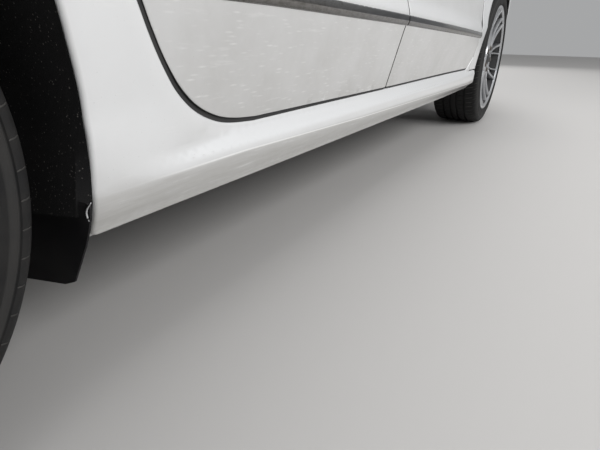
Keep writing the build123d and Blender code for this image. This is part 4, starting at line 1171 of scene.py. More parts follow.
for xc, zc, wall, out, end in ((0.0, 0.3640, 0.573, 0.884, "rear"), (2.791, 0.3470, 0.473, 0.880, "front")):
    if end == "rear":
        o = liner_mesh("rear_liner", xc, zc, wall, out, flared, 0.3875, drop=7.0, edge=rear_edge)
    else:
        o = liner_mesh("front_liner", xc, zc, wall, out, side_y, 0.384)
    pr = pair(o, f"{end}_liner", "body")
    for p in pr:
        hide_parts("arch_liners")
    xf = xc + (0.368 if end == "rear" else 0.366)
    if end == "rear":
        flap = rounded([(-0.690, 0.112, 0.004), (-0.690, 0.262, 0.004), (-0.9035, 0.270, 0.006), (-0.8995, 0.253, 0.04), (-0.8920, 0.236, 0.06), (-0.8795, 0.214, 0.1),
                        (-0.8615, 0.189, 0.1), (-0.8480, 0.171, 0.06), (-0.8315, 0.150, 0.010), (-0.808, 0.139, 0.03), (-0.760, 0.128, 0.05)][::-1], 0.006)
        o = plate_yz("rear_flap", flap, lambda y, z: xf + 0.002 + 0.006 * np.clip((0.24 - z) / 0.09, 0, 1) ** 2, 0.0025, FLAP)
    else:
        flap = rounded([(-0.790, 0.168, 0.004), (-0.790, 0.262, 0.004), (-0.880, 0.262, 0.010), (-0.874, 0.220, 0.03), (-0.858, 0.168, 0.016)][::-1], 0.006)
        o = plate_yz("front_flap", flap, lambda y, z: xf + 0.010 * np.clip((0.25 - z) / 0.09, 0, 1) ** 2, 0.004, FLAP)
    for p in pair(o, f"{end}_flap", "body"):
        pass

# the folded lip of the quarter panel's corner, caught by the light just over the flap
def bead(name, pts, r, mat, n=8):
    """Round strip through points."""
    pts = np.array(pts, float)
    tang = np.gradient(pts, axis=0)
    tang /= np.linalg.norm(tang, axis=1, keepdims=True)
    verts, faces = [], []
    up_ = np.array([0, 0, 1.0])
    for i, (p, t) in enumerate(zip(pts, tang)):
        u = np.cross(t, up_) if abs(t @ up_) < 0.95 else np.cross(t, [0, 1.0, 0])
        u /= np.linalg.norm(u)
        v = np.cross(t, u)
        rr = r if np.isscalar(r) else r[i]
        for q in range(n):
            verts.append(p + rr * (u * math.cos(TAU * q / n) + v * math.sin(TAU * q / n)))
    for i in range(len(pts) - 1):
        for q in range(n):
            w = (q + 1) % n
            faces.append((i * n + q, i * n + w, (i + 1) * n + w, (i + 1) * n + q))
    faces.append(tuple(range(n))[::-1])
    faces.append(tuple((len(pts) - 1) * n + q for q in range(n)))
    o = add_mesh(name, verts, faces, mat)
    bm_out(o)
    return o


lip = [(XR + 0.3685 - 0.0005 * t, -(0.9090 - 0.0060 * math.sin(math.pi * t) - 0.009 * t), 0.2735 - 0.023 * t) for t in np.linspace(0, 1, 14)]
o = bead("arch_corner_lip", lip, [0.0004 + 0.0012 * math.sin(math.pi * (i + 0.5) / 14) for i in range(14)], CHROME)
pair(o, "arch_corner_lip", "body")


def gap_seal(name, loop, surf, depth=0.0038, high=0.009, mat=SEAL, us=(-0.0023, 0.0046)):
    """Rubber strip lying in a shut line, against the body side. loop is an open run of points with the body on its outer side."""
    t = np.gradient(loop, axis=0)
    t /= np.linalg.norm(t, axis=1, keepdims=True)
    nn = np.stack([t[:, 1], -t[:, 0]], 1)
    verts, faces = [], []
    n = len(loop)
    y = surf(loop[:, 0], loop[:, 1])
    lo = np.broadcast_to(us[0], (n,))
    for i in range(n):
        p, q, yy, a = loop[i], nn[i], y[i], lo[i]
        for u, d in ((a, depth + 0.0006), ((a + us[1]) / 2, depth), (us[1], depth), (us[1], depth + high), (a, depth + high)):
            verts.append((p[0] + q[0] * u + XR, -(yy - d), p[1] + q[1] * u))
    for i in range(n - 1):
        for k in range(5):
            m2 = (k + 1) % 5
            faces.append((i * 5 + k, i * 5 + m2, (i + 1) * 5 + m2, (i + 1) * 5 + k))
    faces.append(tuple(range(5))[::-1])
    faces.append(tuple((n - 1) * 5 + q for q in range(5)))
    o = add_mesh(name, verts, faces, mat, angle=40)
    bm_out(o)
    return o


def open_run(ring, keep):
    """The longest run of a closed outline's points for which keep is true."""
    k = keep(ring)
    n = len(ring)
    start = next(i for i in range(n) if not k[i - 1] and k[i])
    idx = [(start + i) % n for i in range(n)]
    out = []
    for i in idx:
        if not k[i]:
            break
        out.append(ring[i])
    return np.array(out)


def side_any(x, z):
    """Side surface of the lower body below the belt and of the cabin above it."""
    return np.where(z < 0.9465, side_y(x, np.minimum(z, 0.9465)), upper_y(x, np.maximum(z, 0.93)))


ring_rear = rounded([(1.281, 0.309, 0.006), (1.281, 1.350, 0.012), (0.600, 1.353, 0.4), (0.340, 1.3355, 0.16), (0.144, 1.180, 0.3), (0.057, 0.960, 0.02)] + TAIL_EDGE[::-1], 0.012)
ring_front = rounded([(1.287, 0.309, 0.006), (2.236, 0.309, 0.04), (2.290, 0.356, 0.05), (2.300, 0.640, 0.2), (2.296, 0.905, 0.02), (2.262, 0.938, 0.02), (2.118, 0.960, 0.02), (1.808, 1.190, 0.2), (1.590, 1.332, 0.2), (1.450, 1.349, 0.3), (1.290, 1.353, 0.012)], 0.012)
for nm, ring in (("rear", ring_rear), ("front", ring_front)):
    run = open_run(ring, lambda p: np.abs(p[:, 0] - 1.284) > 0.010)
    o = gap_seal(f"{nm}_door_seal", run, side_any, depth=0.0012, us=(-0.0024 - 0.0008 * np.exp(-((run[:, 0] - 0.575) / 0.085) ** 2) * (run[:, 1] < 0.44), 0.0046))
    pair(o, f"{nm}_door_seal", "body")
mid = np.array([(np.interp(z, [0.31, 0.44, 0.452, 0.466, 0.480, 0.496, 0.515, 1.0], [1.2650, 1.2665, 1.2668, 1.2700, 1.2760, 1.2815, 1.2840, 1.2840]), z) for z in np.linspace(0.312, 0.943, 120)][::-1])
o = gap_seal("door_edge_seal", mid, door_y, us=(-0.0032, 0.0012), depth=0.0045)
pair(o, "door_edge_seal", "front_door_SIDE")


def box_mesh(x0, x1, y0, y1, z0, z1):
    v = [(x, y, z) for x in (x0 + XR, x1 + XR) for y in (y0, y1) for z in (z0, z1)]
    f = [(0, 1, 3, 2), (4, 6, 7, 5), (0, 4, 5, 1), (2, 3, 7, 6), (0, 2, 6, 4), (1, 5, 7, 3)]
    return v, f


o = merge([box_mesh(1.262, 1.306, -0.812, -0.8055, 0.40, 0.93)], "b_pillar_strip", SEAL)
bm_out(o)
pair(o, "b_pillar_strip", "body")

# fender side, right of the wheel's arch
fender_line = ([(2.3045, 0.3015, 0.003), (2.408, 0.3015, 0.002)] + arc_pts(*FRONT_ARCH, ARCH_R, 186.8, 33.6, 48)
               + [(3.152, 0.5625, 0.01), (3.262, 0.612, 0.003), (3.262, 0.826, 0.003)] + [(x, float(curve(STATIONS[:, 0], STATIONS[:, 5], x)) - 0.001, 0) for x in (3.18, 3.0, 2.8, 2.6, 2.5, 2.4)]
               + [(2.3045, belt(2.3045) - 0.001, 0.003)])
o = panel("fender_skin", [rounded(fender_line, 0.012)], side_y, WHITE, r=0.0022, depth=0.014, rows=(0.458, 0.476, 0.482, 0.490, 0.524), lift=0.0025, dz=0.012, dx=0.02)
for p in pair(o, "fender_skin", "body"):
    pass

# ---------------------------------------------------------------- helpers for pieces that follow the CAD surfaces



def tree_of(*names):
    verts, polys = [], []
    for nm in names:
        o = bpy.data.objects[nm]
        b0 = len(verts)
        verts += [o.matrix_world @ v.co for v in o.data.vertices]
        polys += [[b0 + i for i in p.vertices] for p in o.data.polygons]
    return BVHTree.FromPolygons(verts, polys)


def hit_x(tree, y, z, front=True, fallback=None):
    """Where a ray along the car's axis, from the front or from behind, meets the pieces (x in the car's frame)."""
    d = Vector((-1, 0, 0)) if front else Vector((1, 0, 0))
    p = Vector((4.0 if front else -4.0, y, z))
    h = tree.ray_cast(p, d)
    return fallback if h[0] is None else h[0].x


def drape(name, outline, tree, mat, lift=0.002, thick=0.006, front=True, body="body", dy=0.02, dz=0.012, limit=None, reach=0.04, both_sides=False):
    """Thin piece laid on the nose or the tail: outline in (y, z), seen along the car's axis."""
    lp = rounded(outline, 0.012) if len(outline[0]) == 3 else np.array(outline, float)
    vs, tri, idx = fill([lp], dy, dz)
    sg = 1.0 if front else -1.0
    xs = np.array([hit_x(tree, -float(y), float(z), front, np.nan) for y, z in vs])
    good = np.isfinite(xs)
    mid = np.nanmedian(xs)
    good &= np.abs(np.where(good, xs, mid) - mid) < reach
    if not good.any():
        return None
    near = np.array([xs[good][np.argmin(((vs[good] - v) ** 2).sum(1))] for v in vs])
    xs = np.where(good, xs, near)
    top = xs + sg * lift
    if limit is not None:
        top = np.minimum(top, limit) if front else np.maximum(top, limit)
    low = top - sg * thick
    n = len(vs)
    verts = [(a, -y, z) for a, (y, z) in zip(top, vs)] + [(a, -y, z) for a, (y, z) in zip(low, vs)]
    faces = [tuple(t) for t in tri] + [tuple(n + q for q in t[::-1]) for t in tri]
    m = len(lp)
    for q in range(m):
        p, w = idx[q], idx[(q + 1) % m]
        faces.append((p, w, n + w, n + p))
    o = add_mesh(name, verts, faces, mat, angle=32)
    bm_out(o)
    if both_sides:
        return pair(o, name, body)
    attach(o, body)
    return o


def ball(name, c, r, mat, n=20, squash_x=1.0):
    verts, faces = [], []
    for i in range(n + 1):
        a = math.pi * i / n
        for j in range(2 * n):
            b_ = TAU * j / (2 * n)
            verts.append((c[0] + squash_x * r * math.cos(a), c[1] + r * math.sin(a) * math.cos(b_), c[2] + r * math.sin(a) * math.sin(b_)))
    for i in range(n):
        for j in range(2 * n):
            k = (j + 1) % (2 * n)
            faces.append((i * 2 * n + j, i * 2 * n + k, (i + 1) * 2 * n + k, (i + 1) * 2 * n + j))
    o = add_mesh(name, verts, faces, mat)
    bm_fix(o)
    return o


def rounded_box(name, x0, x1, y0, y1, z0, z1, r, mat, seg=3):
    """Box with rolled edges, x from the rear axle."""
    v, f = box_mesh(x0, x1, y0, y1, z0, z1)
    o = add_mesh(name, v, f, mat, smooth=True, angle=40)
    bm = bmesh.new()
    bm.from_mesh(o.data)
    bmesh.ops.recalc_face_normals(bm, faces=bm.faces)
    bmesh.ops.bevel(bm, geom=list(bm.edges), offset=r, segments=seg, affect="EDGES", profile=0.5)
    bm.to_mesh(o.data)
    bm.free()
    for p in o.data.polygons:
        p.use_smooth = True
    return o


NUMBER_PLATE = plain("plate_white", (0.72, 0.72, 0.70), 0.35, dirt=0.25)
LAMP_BLACK = plain("lamp_black", (0.012, 0.012, 0.013), 0.25, coat=0.6)
LAMP_WHITE = plain("lamp_white", (0.85, 0.87, 0.90), 0.25, coat=0.5)
LAMP_RED = plain("lamp_red", (0.42, 0.010, 0.012), 0.12, coat=1.0)
REFLECTOR = plain("reflector_red", (0.35, 0.006, 0.008), 0.18, coat=1.0)
MIRROR = plain("mirror_silver", (0.86, 0.88, 0.90), 0.02, metal=1.0)

nose = tree_of("front_bumper", "grille")
bumper_r = tree_of("rear_bumper")
gate = tree_of("tailgate")
gate_glass = tree_of("tailgate_glass")
screen_t = tree_of("windscreen")

# ---------------------------------------------------------------- nose: cap between bonnet, lamps and bumper
HOOD_X = [3.520, 3.600, 3.640, 3.650]
HOOD_YE = [0.540, 0.500, 0.250, 0.0]


def nose_section(x):
    """Half section across the nose at x, from the lamp's upper edge over the belt edge to the bonnet's edge or the middle."""
    k, l, zsh, ybl, zbl, zc = [float(q) for q in station(min(x, 3.706))]
    z0 = float(np.interp(x, [3.40, 3.56, 3.80], [0.716, 0.700, 0.664])) + 0.0035
    side = [(float(profile(x, z)) - 0.0002, z) for z in np.linspace(z0, zbl - 0.0005, 6)]
    y_in = float(np.interp(x, HOOD_X, HOOD_YE)) + (0.0045 if x < 3.649 else 0.0)
    top = []
    for t in np.linspace(0, 1, 22):
        y = ybl * (1 - t) + y_in * t
        top.append((y, zc - (zc - zbl) * (y / ybl) ** 2))
    return side + top[1:]


xs_n = [3.522, 3.540, 3.560, 3.580, 3.600, 3.610, 3.620, 3.630, 3.638, 3.642, 3.646, 3.6495, 3.6530, 3.660, 3.672, 3.684, 3.694]
rings = [[(x, y, z) for y, z in nose_section(x)] for x in xs_n]
last = nose_section(3.694)
for dx_, dz_ in ((0.0050, -0.0012), (0.0085, -0.0042), (0.0105, -0.0090), (0.0108, -0.0200), (0.0100, -0.0280), (0.0040, -0.0300)):
    rings.append([(3.694 + dx_, y * (1 - 0.010 * dx_ / 0.0105), max(z + dz_, 0.6672) if y > 0.455 else z + dz_) for y, z in last])
n = len(rings[0])
verts = [(x + XR, -y, z) for rg in rings for x, y, z in rg]
faces = [(i * n + j, i * n + j + 1, (i + 1) * n + j + 1, (i + 1) * n + j) for i in range(len(rings) - 1) for j in range(n - 1)]
o = add_mesh("nose_cap", verts, faces, WHITE, angle=50)
bm_fix(o)
for p in pair(o, "nose_cap", "body"):
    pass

# upper grille between the lamps: backing, bars and a bright frame
GX = 3.690
up = lambda y: 0.7145 - 0.030 * (y / 0.45) ** 2
lo_z = 0.6005
back = [(y, lo_z - 0.004) for y in np.linspace(-0.438, 0.438, 25)] + [(y, up(y) + 0.012) for y in np.linspace(0.438, -0.438, 25)]
o = plate_yz("grille_backing", rounded([(y, z, 0.0) for y, z in back][::-1], 0.03), lambda y, z: np.full(np.shape(y), 3.640), 0.004, LAMP_BLACK)
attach(o, "body")
bars = []
for kz, zz in enumerate((0.6155, 0.6325, 0.6495, 0.6665, 0.6835)):
    ymax = 0.436
    ys = [y for y in np.linspace(-ymax, ymax, 41) if zz < up(y) - 0.006]
    vs_, fs_ = [], []
    for y in ys:
        xf = GX - 0.020 * (y / 0.45) ** 2
        for a, b_ in ((xf, zz - 0.0022), (xf + 0.0015, zz), (xf, zz + 0.0022), (xf - 0.030, zz + 0.0016), (xf - 0.030, zz - 0.0016)):
            vs_.append((a + XR, y, b_))
    for i in range(len(ys) - 1):
        for q in range(5):
            w = (q + 1) % 5
            fs_.append((i * 5 + q, i * 5 + w, (i + 1) * 5 + w, (i + 1) * 5 + q))
    fs_ += [tuple(range(5))[::-1], tuple((len(ys) - 1) * 5 + q for q in range(5))]
    bars.append((vs_, fs_))
o = merge(bars, "grille_bars", CHROME)
bm_out(o)
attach(o, "body")
frame_run = [(XR + GX + 0.006 - 0.018 * (y / 0.45) ** 2, y, lo_z + 0.004) for y in np.linspace(-0.437, 0.437, 40)]
o = bead("grille_frame_lower", frame_run, 0.0036, CHROME)
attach(o, "body")
frame_run = [(XR + GX + 0.006 - 0.018 * (y / 0.45) ** 2, y, up(y) - 0.001) for y in np.linspace(-0.437, 0.437, 40)]
o = bead("grille_frame_upper", frame_run, 0.0036, CHROME)
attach(o, "body")

# lamp insides: dark bowl, two projectors, a light bar
bowl = [(3.335, 0.812), (3.420, 0.775), (3.520, 0.705), (3.600, 0.600), (3.640, 0.520), (3.648, 0.446)]
vs_, fs_ = [], []
for x, y in bowl:
    for dx2, z in ((0.030, 0.601), (0.0, 0.606), (0.0, 0.690), (0.020, 0.6985)):
        vs_.append((x + dx2 + XR, -y, z if not (x < 3.40 and z > 0.65) else z + 0.004))
for i in range(len(bowl) - 1):
    for q in range(3):
        fs_.append((i * 4 + q, i * 4 + q + 1, (i + 1) * 4 + q + 1, (i + 1) * 4 + q))
o = add_mesh("lamp_bowl", vs_, fs_, LAMP_BLACK, angle=40)
pair(o, "lamp_bowl", "body")
for kk, (x, y) in enumerate(((3.585, 0.600), (3.628, 0.515))):
    c = (x + 0.010 + XR, -y, 0.640)
    ring = bead(f"lamp_ring_{kk}", [(c[0] + 0.010, c[1] + 0.0255 * math.cos(TAU * q / 24), c[2] + 0.0255 * math.sin(TAU * q / 24)) for q in range(25)], 0.0032, CHROME)
    pair(ring, f"lamp_ring_{kk}", "body")
    o = ball(f"lamp_eye_{kk}", c, 0.0235, MIRROR, n=14, squash_x=0.75)
    pair(o, f"lamp_eye_{kk}", "body")
run = [(x + 0.020 + XR, -(y + 0.012), 0.6825 + 0.010 * min(1, (3.64 - x) / 0.28)) for x, y in bowl[1:]]
o = bead("lamp_light_bar", run, 0.0045, LAMP_WHITE)
pair(o, "lamp_light_bar", "body")

# bumper: frame round the intake, blank plate, side pockets with round lamps, lower lip
ring = [(-0.450, 0.400), (-0.390, 0.300), (0.390, 0.300), (0.450, 0.400), (0.430, 0.520), (0.0, 0.560), (-0.430, 0.520)]
ring = rounded([(y, z, 0.02) for y, z in ring], 0.02)
pts = []
for y, z in ring:
    cy, cz = y * 1.012, 0.43 + (z - 0.43) * 1.03
    x = hit_x(nose, -float(cy), float(cz), True, 3.700 + XR)
    pts.append((min(x, 3.7035 + XR) + 0.0004, -cy, cz))
pts.append(pts[0])
o = bead("intake_frame", pts, 0.0030, CHROME)
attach(o, "body")
o = rounded_box("front_plate", 3.6945, 3.6985, -0.260, 0.260, 0.372, 0.482, 0.0015, NUMBER_PLATE)
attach(o, "body")
o = rounded_box("front_plate_carrier", 3.630, 3.6945, -0.266, 0.266, 0.366, 0.488, 0.002, BLACK)
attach(o, "body")
drape("bumper_pocket", [(0.500, 0.330, 0.02), (0.610, 0.318, 0.02), (0.640, 0.400, 0.03), (0.520, 0.440, 0.03)], nose, LAMP_BLACK, lift=0.0008, thick=0.004, limit=3.7058 + XR, both_sides=True, reach=0.09)
x = hit_x(nose, -0.565, 0.375, True, 3.70 + XR)
ring = bead("fog_ring", [(x + 0.0012, -0.565 + 0.030 * math.cos(TAU * q / 28), 0.375 + 0.030 * math.sin(TAU * q / 28)) for q in range(29)], 0.0025, CHROME)
pair(ring, "fog_ring", "body")
o = ball("fog_lamp", (x - 0.004, -0.565, 0.375), 0.027, LAMP_WHITE, n=14, squash_x=0.25)
pair(o, "fog_lamp", "body")
lipz = [(y, 0.226 + 0.0 * y) for y in np.linspace(-0.60, 0.60, 30)]
drape("front_lip", [(-0.610, 0.222, 0.005), (-0.600, 0.262, 0.01), (0.600, 0.262, 0.01), (0.610, 0.222, 0.005)][::-1], nose, BLACK, lift=0.0010, thick=0.004, limit=3.7055 + XR, reach=0.12)

# ---------------------------------------------------------------- tail
back_x = lambda y: -1.0640 + max(0.0, y - 0.632) * 0.458
vs_, fs_ = [], []
ys = np.linspace(0.6085, 0.752, 18)
for y in ys:
    for z in (0.7390, 0.8105, 0.8815):
        vs_.append((back_x(y) + XR, -y, z))
for i in range(len(ys) - 1):
    for q in range(2):
        fs_.append((i * 3 + q, i * 3 + q + 1, (i + 1) * 3 + q + 1, (i + 1) * 3 + q))
b0 = len(vs_)
for y in (0.6085,):
    for z in (0.7390, 0.8105, 0.8815):
        vs_.append((back_x(y) + 0.050 + XR, -y, z))
fs_ += [(0, b0, b0 + 1, 1), (1, b0 + 1, b0 + 2, 2)]
o = add_mesh("tail_lens_rear", vs_, fs_, LAMP_RED, angle=40)
bm_fix(o)
for p in pair(o, "tail_lens_rear", "body"):
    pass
for kk, zz in enumerate((0.765, 0.852)):
    run = [(back_x(y) - 0.0006 + XR, -y, zz) for y in np.linspace(0.612, 0.690, 8)]
    run += [(x + XR, -(float(side_y(x, zz)) + 0.0006), zz) for x in np.linspace(-1.028, -0.800, 14)]
    o = bead(f"tail_light_bar_{kk}", run, 0.0028, LAMP_WHITE if kk == 0 else REFLECTOR)
    pair(o, f"tail_light_bar_{kk}", "body")

LIM = -1.0648 + XR
drape("tailgate_strip", [(-0.300, 0.868, 0.004), (-0.300, 0.884, 0.004), (0.300, 0.884, 0.004), (0.300, 0.868, 0.004)][::-1], gate, CHROME, lift=0.0030, thick=0.006, front=False, body="tailgate", limit=LIM)
drape("plate_recess", [(-0.285, 0.722, 0.02), (-0.275, 0.860, 0.02), (0.275, 0.860, 0.02), (0.285, 0.722, 0.02)][::-1], gate, BLACK, lift=0.0008, thick=0.003, front=False, body="tailgate", limit=LIM)
drape("rear_plate", [(-0.260, 0.735, 0.004), (-0.260, 0.845, 0.004), (0.260, 0.845, 0.004), (0.260, 0.735, 0.004)][::-1], gate, NUMBER_PLATE, lift=0.0030, thick=0.003, front=False, body="tailgate", limit=LIM)
wp = []
for t in np.linspace(0, 1, 16):
    y, z = 0.02 + 0.33 * t, 1.012 + 0.030 * t
    wp.append((hit_x(gate_glass, -y, z, False, -0.95 + XR) - 0.006, -y, z))
o = bead("rear_wiper", wp, [0.0075 - 0.004 * t for t in np.linspace(0, 1, 16)], SEAL)
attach(o, "tailgate")
o = ball("rear_wiper_hub", (wp[0][0], wp[0][1], wp[0][2]), 0.017, BLACK, n=12, squash_x=0.5)
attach(o, "tailgate")
o = rounded_box("stop_lamp", -0.8035, -0.7990, -0.130, 0.130, 1.3595, 1.3665, 0.0012, LAMP_RED)
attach(o, "tailgate")
drape("diffuser", [(-0.470, 0.314, 0.01), (-0.520, 0.385, 0.03), (0.520, 0.385, 0.03), (0.470, 0.314, 0.01)][::-1], bumper_r, BLACK, lift=0.0010, thick=0.004, front=False, limit=LIM, reach=0.12)
drape("rear_reflector", [(0.545, 0.402, 0.008), (0.545, 0.430, 0.008), (0.640, 0.432, 0.008), (0.640, 0.404, 0.008)][::-1], bumper_r, REFLECTOR, lift=0.0012, thick=0.004, front=False, limit=LIM, both_sides=True, reach=0.12)
tip = [(XR - 1.046, -0.430 + 0.0285 * math.cos(TAU * q / 24), 0.262 + 0.0285 * math.sin(TAU * q / 24)) for q in range(25)]
o = bead("exhaust_tip", tip, 0.0030, CHROME)
pair(o, "exhaust_tip", "body")

# ---------------------------------------------------------------- wipers, handles, mirror glass, fuel flap
for kk, (y0, z0, y1, z1) in enumerate(((0.060, 0.972, 0.560, 1.000), (-0.600, 0.978, -0.080, 0.992))):
    run = []
    for t in np.linspace(0, 1, 22):
        y, z = y0 + (y1 - y0) * t, z0 + (z1 - z0) * t + 0.012 * math.sin(math.pi * t)
        run.append((hit_x(screen_t, -y, z, True, 2.35 + XR) + 0.011, -y, z + 0.002))
    o = bead(f"wiper_{kk}", run, [0.0070 - 0.0035 * abs(t - 0.4) for t in np.linspace(0, 1, 22)], SEAL)
    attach(o, "body")

for end, x0 in (("front", 1.355), ("rear", 0.335)):
    # a flat dark patch on the door behind each handle: painted shade of the handle's recess
    shade_patch = [(x0 + 0.085 + 0.092 * math.cos(TAU * q / 36), 0.8000 + 0.025 * math.sin(TAU * q / 36)) for q in range(36)]
    vs_ = [(x + XR, -(float(side_y(x, z)) + LIFT + 0.0004), z) for x, z in shade_patch] + [(x0 + 0.085 + XR, -(float(side_y(x0 + 0.085, 0.80)) + LIFT + 0.0006), 0.80)]
    fs_ = [(q, (q + 1) % 36, 36) for q in range(36)]
    o = add_mesh(f"{end}_handle_cup", vs_, fs_, LAMP_BLACK)
    bm_fix(o)
    pair(o, f"{end}_handle_cup", f"{end}_door_SIDE")
    vs_, fs_ = [], []
    xs_h = np.linspace(x0 - 0.022, x0 + 0.192, 34)
    for x in xs_h:
        t = (x - xs_h[0]) / (xs_h[-1] - xs_h[0])
        bow = 0.030 * math.sin(math.pi * min(1.0, max(0.0, t))) ** 0.45 + 0.001
        hh = 0.0125 * min(1.0, 4.5 * min(t, 1 - t) + 0.55)
        y = float(side_y(x, 0.80)) + LIFT
        for a, b_ in ((-0.006, -hh * 0.75), (0.003, -hh), (0.0062, -hh * 0.55), (0.0072, 0.0), (0.0062, hh * 0.55), (0.003, hh), (-0.006, hh * 0.75)):
            vs_.append((x + XR, -(y + bow + a * (0.4 + 0.6 * min(1, 5 * min(t, 1 - t)))), 0.80 + b_))
    m_ = 7
    for i in range(len(xs_h) - 1):
        for q in range(m_):
            w = (q + 1) % m_
            fs_.append((i * m_ + q, i * m_ + w, (i + 1) * m_ + w, (i + 1) * m_ + q))
    fs_ += [tuple(range(m_))[::-1], tuple((len(xs_h) - 1) * m_ + q for q in range(m_))]
    o = add_mesh(f"{end}_handle", vs_, fs_, DOOR, angle=50)
    bm_out(o)
    for p in pair(o, f"{end}_handle", f"{end}_door_SIDE"):
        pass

face_m = rounded([(-0.914, 0.992, 0.012), (-1.052, 1.000, 0.014), (-1.063, 1.031, 0.012), (-1.049, 1.070, 0.012), (-0.918, 1.070, 0.012), (-0.903, 1.031, 0.012)], 0.006)
o = plate_yz("mirror_glass", face_m[::-1], lambda y, z: np.full(np.shape(y), 2.0862), 0.0012, MIRROR)
pair(o, "mirror_glass", "front_door_SIDE")
run = [(x + XR, -y, 1.040) for x, y in ((2.098, 1.0715), (2.120, 1.0640), (2.150, 1.0555), (2.180, 1.0440), (2.1865, 1.020), (2.1868, 0.985))]
o = bead("mirror_repeater", run, 0.0028, LAMP_WHITE)
pair(o, "mirror_repeater", "front_door_SIDE")

ring = [(-0.330 + 0.078 * math.cos(TAU * q / 48), 0.800 + 0.078 * math.sin(TAU * q / 48)) for q in range(49)]
o = bead("fuel_flap_line", [(x + XR, -(float(side_y(x, z)) + LIFT), z) for x, z in ring], 0.0016, SEAL)
o.name = "fuel_flap_line_right"
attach(o, "body")

# ---------------------------------------------------------------- seats: crowned cushions with sewn channels
def cushion(name, c, size, pitch, e=0.42, channels=0, across=False, nu=26, nv=44):
    """Stuffed pad: centre (x from the rear axle, y, z), size along its own x, y, z, leaning back by pitch degrees."""
    a, b_, d = size[0] / 2, size[1] / 2, size[2] / 2
    rot = Matrix.Rotation(math.radians(-pitch), 4, "Y")
    pw = lambda q, k: math.copysign(abs(q) ** k, q)
    verts, faces = [], []
    for i in range(nu + 1):
        f = -math.pi / 2 + math.pi * i / nu
        for j in range(nv):
            g = TAU * j / nv
            u, v, w = pw(math.cos(f), e) * pw(math.cos(g), 0.30), pw(math.cos(f), e) * pw(math.sin(g), 0.30), pw(math.sin(f), 0.62)
            pull = 1 - 0.022 * (1 - abs(u)) * abs(v) - 0.022 * (1 - abs(v)) * abs(u)
            x, y, z = a * u * pull, b_ * v * pull, d * w
            if channels:
                t = (v if across else u) * channels
                groove = math.exp(-((t - round(t)) / 0.13) ** 2) * (abs(u) < 0.82) * (abs(v) < 0.80)
                z -= math.copysign(0.0065 * groove * (abs(w) > 0.35), w)
            p = rot @ Vector((x, y, z))
            verts.append((c[0] + XR + p.x, c[1] + p.y, c[2] + p.z))
    for i in range(nu):
        for j in range(nv):
            k = (j + 1) % nv
            faces.append((i * nv + j, i * nv + k, (i + 1) * nv + k, (i + 1) * nv + j))
    o = add_mesh(name, verts, faces, CLOTH)
    bm_fix(o)
    # piping round the widest line
    seam = []
    for j in range(0, nv + 1):
        g = TAU * j / nv
        p = rot @ Vector((a * 1.002 * pw(math.cos(g), 0.30), b_ * 1.002 * pw(math.sin(g), 0.30), 0))
        seam.append((c[0] + XR + p.x, c[1] + p.y, c[2] + p.z))
    s = bead(name + "_piping", seam, 0.0028, SEAL, n=6)
    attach(o, "body")
    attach(s, "body")
    return o


for sd, y in (("right", -0.370), ("left", 0.370)):
    parts = [cushion(f"front_seat_cushion_{sd}", (1.565, y, 0.412), (0.500, 0.456, 0.150), 4, channels=3),
             cushion(f"front_seat_back_{sd}", (1.203, y, 0.725), (0.120, 0.440, 0.520), 14, e=0.30),
             cushion(f"front_headrest_{sd}", (1.122, y, 1.053), (0.090, 0.228, 0.146), 8, e=0.5)]
    o = rounded_box(f"front_seat_base_{sd}", 1.335, 1.755, y - 0.185, y + 0.185, 0.256, 0.345, 0.006, TRIM)
    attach(o, "body")
    parts.append(o)
    for dy in (-0.050, 0.050):
        r_ = bead(f"front_headrest_post_{sd}_{'a' if dy < 0 else 'b'}", [(1.1365 + XR, y + dy, 0.955), (1.1250 + XR, y + dy, 1.000)], 0.006, CHROME)
        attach(r_, "body")
    for o in parts:
        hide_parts("front_seats")
        o if "base" not in o.name else o
parts = [cushion("rear_seat_cushion", (0.835, 0.0, 0.548), (0.490, 1.090, 0.160), 3, channels=3),
         cushion("rear_seat_back", (0.480, 0.0, 0.815), (0.115, 1.090, 0.400), 16, e=0.30)]
for kk, y in enumerate((-0.370, 0.0, 0.370)):
    parts.append(cushion(f"rear_headrest_{kk}", (0.395, y, 1.088), (0.088, 0.226, 0.140), 6, e=0.5))
for o in parts:
    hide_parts("rear_bench")

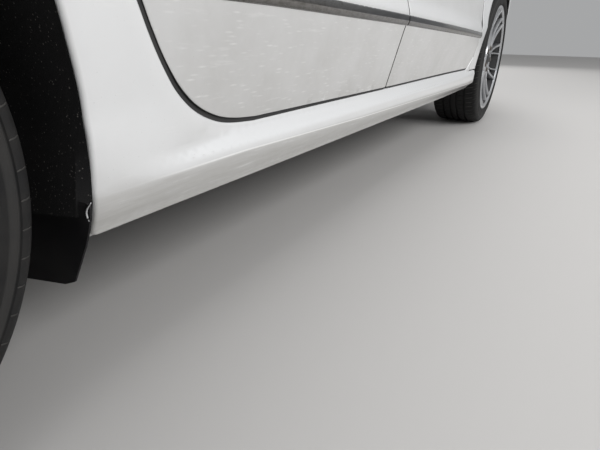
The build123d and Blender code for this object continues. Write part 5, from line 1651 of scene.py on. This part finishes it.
# ---------------------------------------------------------------- floor, light, camera
me = bpy.data.meshes.new("floor")
S = 14.0
me.from_pydata([(-S, -S, 0), (S, -S, 0), (S, S, 0), (-S, S, 0)], [], [(0, 1, 2, 3)])
floor = bpy.data.objects.new("floor", me)
bpy.context.scene.collection.objects.link(floor)
m, nt, b = new_mat("floor")
setv(b, base=(0.52, 0.51, 0.50), rough=0.8, spec=0.2)
me.materials.append(m)

world = bpy.data.worlds.new("studio")
bpy.context.scene.world = world
world.use_nodes = True
bg = world.node_tree.nodes["Background"]
bg.inputs["Color"].default_value = (0.90, 0.91, 0.92, 1)
bg.inputs["Strength"].default_value = 0.42
bpy.context.scene.view_settings.view_transform = "Standard"


def area(name, loc, aim, size, power, color=(1, 1, 1)):
    l = bpy.data.lights.new(name, "AREA")
    l.shape = "RECTANGLE"
    l.size, l.size_y = size
    l.energy = power
    l.color = color
    o = bpy.data.objects.new(name, l)
    o.location = loc
    o.rotation_euler = (Vector(aim) - Vector(loc)).to_track_quat("-Z", "Y").to_euler()
    bpy.context.scene.collection.objects.link(o)
    return o


area("key", (0.5, -5.5, 3.4), (0, 0, 0.5), (6, 3), 260)
area("top", (0.0, 0.0, 6.5), (0, 0, 0), (8, 5), 190)
area("fill", (-5.0, 4.5, 2.8), (0, 0, 0.6), (5, 3), 110)
area("front", (7.0, 1.0, 2.6), (0, 0, 0.6), (4, 3), 85)

cam_data = bpy.data.cameras.new("camera")
cam = bpy.data.objects.new("camera", cam_data)
bpy.context.scene.collection.objects.link(cam)
bpy.context.scene.camera = cam
cam_data.sensor_width = 36.0
cam_data.lens = 433.54 / 600.0 * 36.0
cam_data.clip_start = 0.02
YAW, PITCH, ROLL = 0.5396, 0.4131, 0.0175
fwd = Vector((math.cos(YAW) * math.cos(PITCH), math.sin(YAW) * math.cos(PITCH), -math.sin(PITCH)))
r0 = Vector((math.sin(YAW), -math.cos(YAW), 0))
u0 = r0.cross(fwd)
right = r0 * math.cos(ROLL) + u0 * math.sin(ROLL)
up = -r0 * math.sin(ROLL) + u0 * math.cos(ROLL)
cam.matrix_world = Matrix.Translation((0.1224 + XR, -1.3071, 0.4349)) @ Matrix((right, up, -fwd)).transposed().to_4x4()
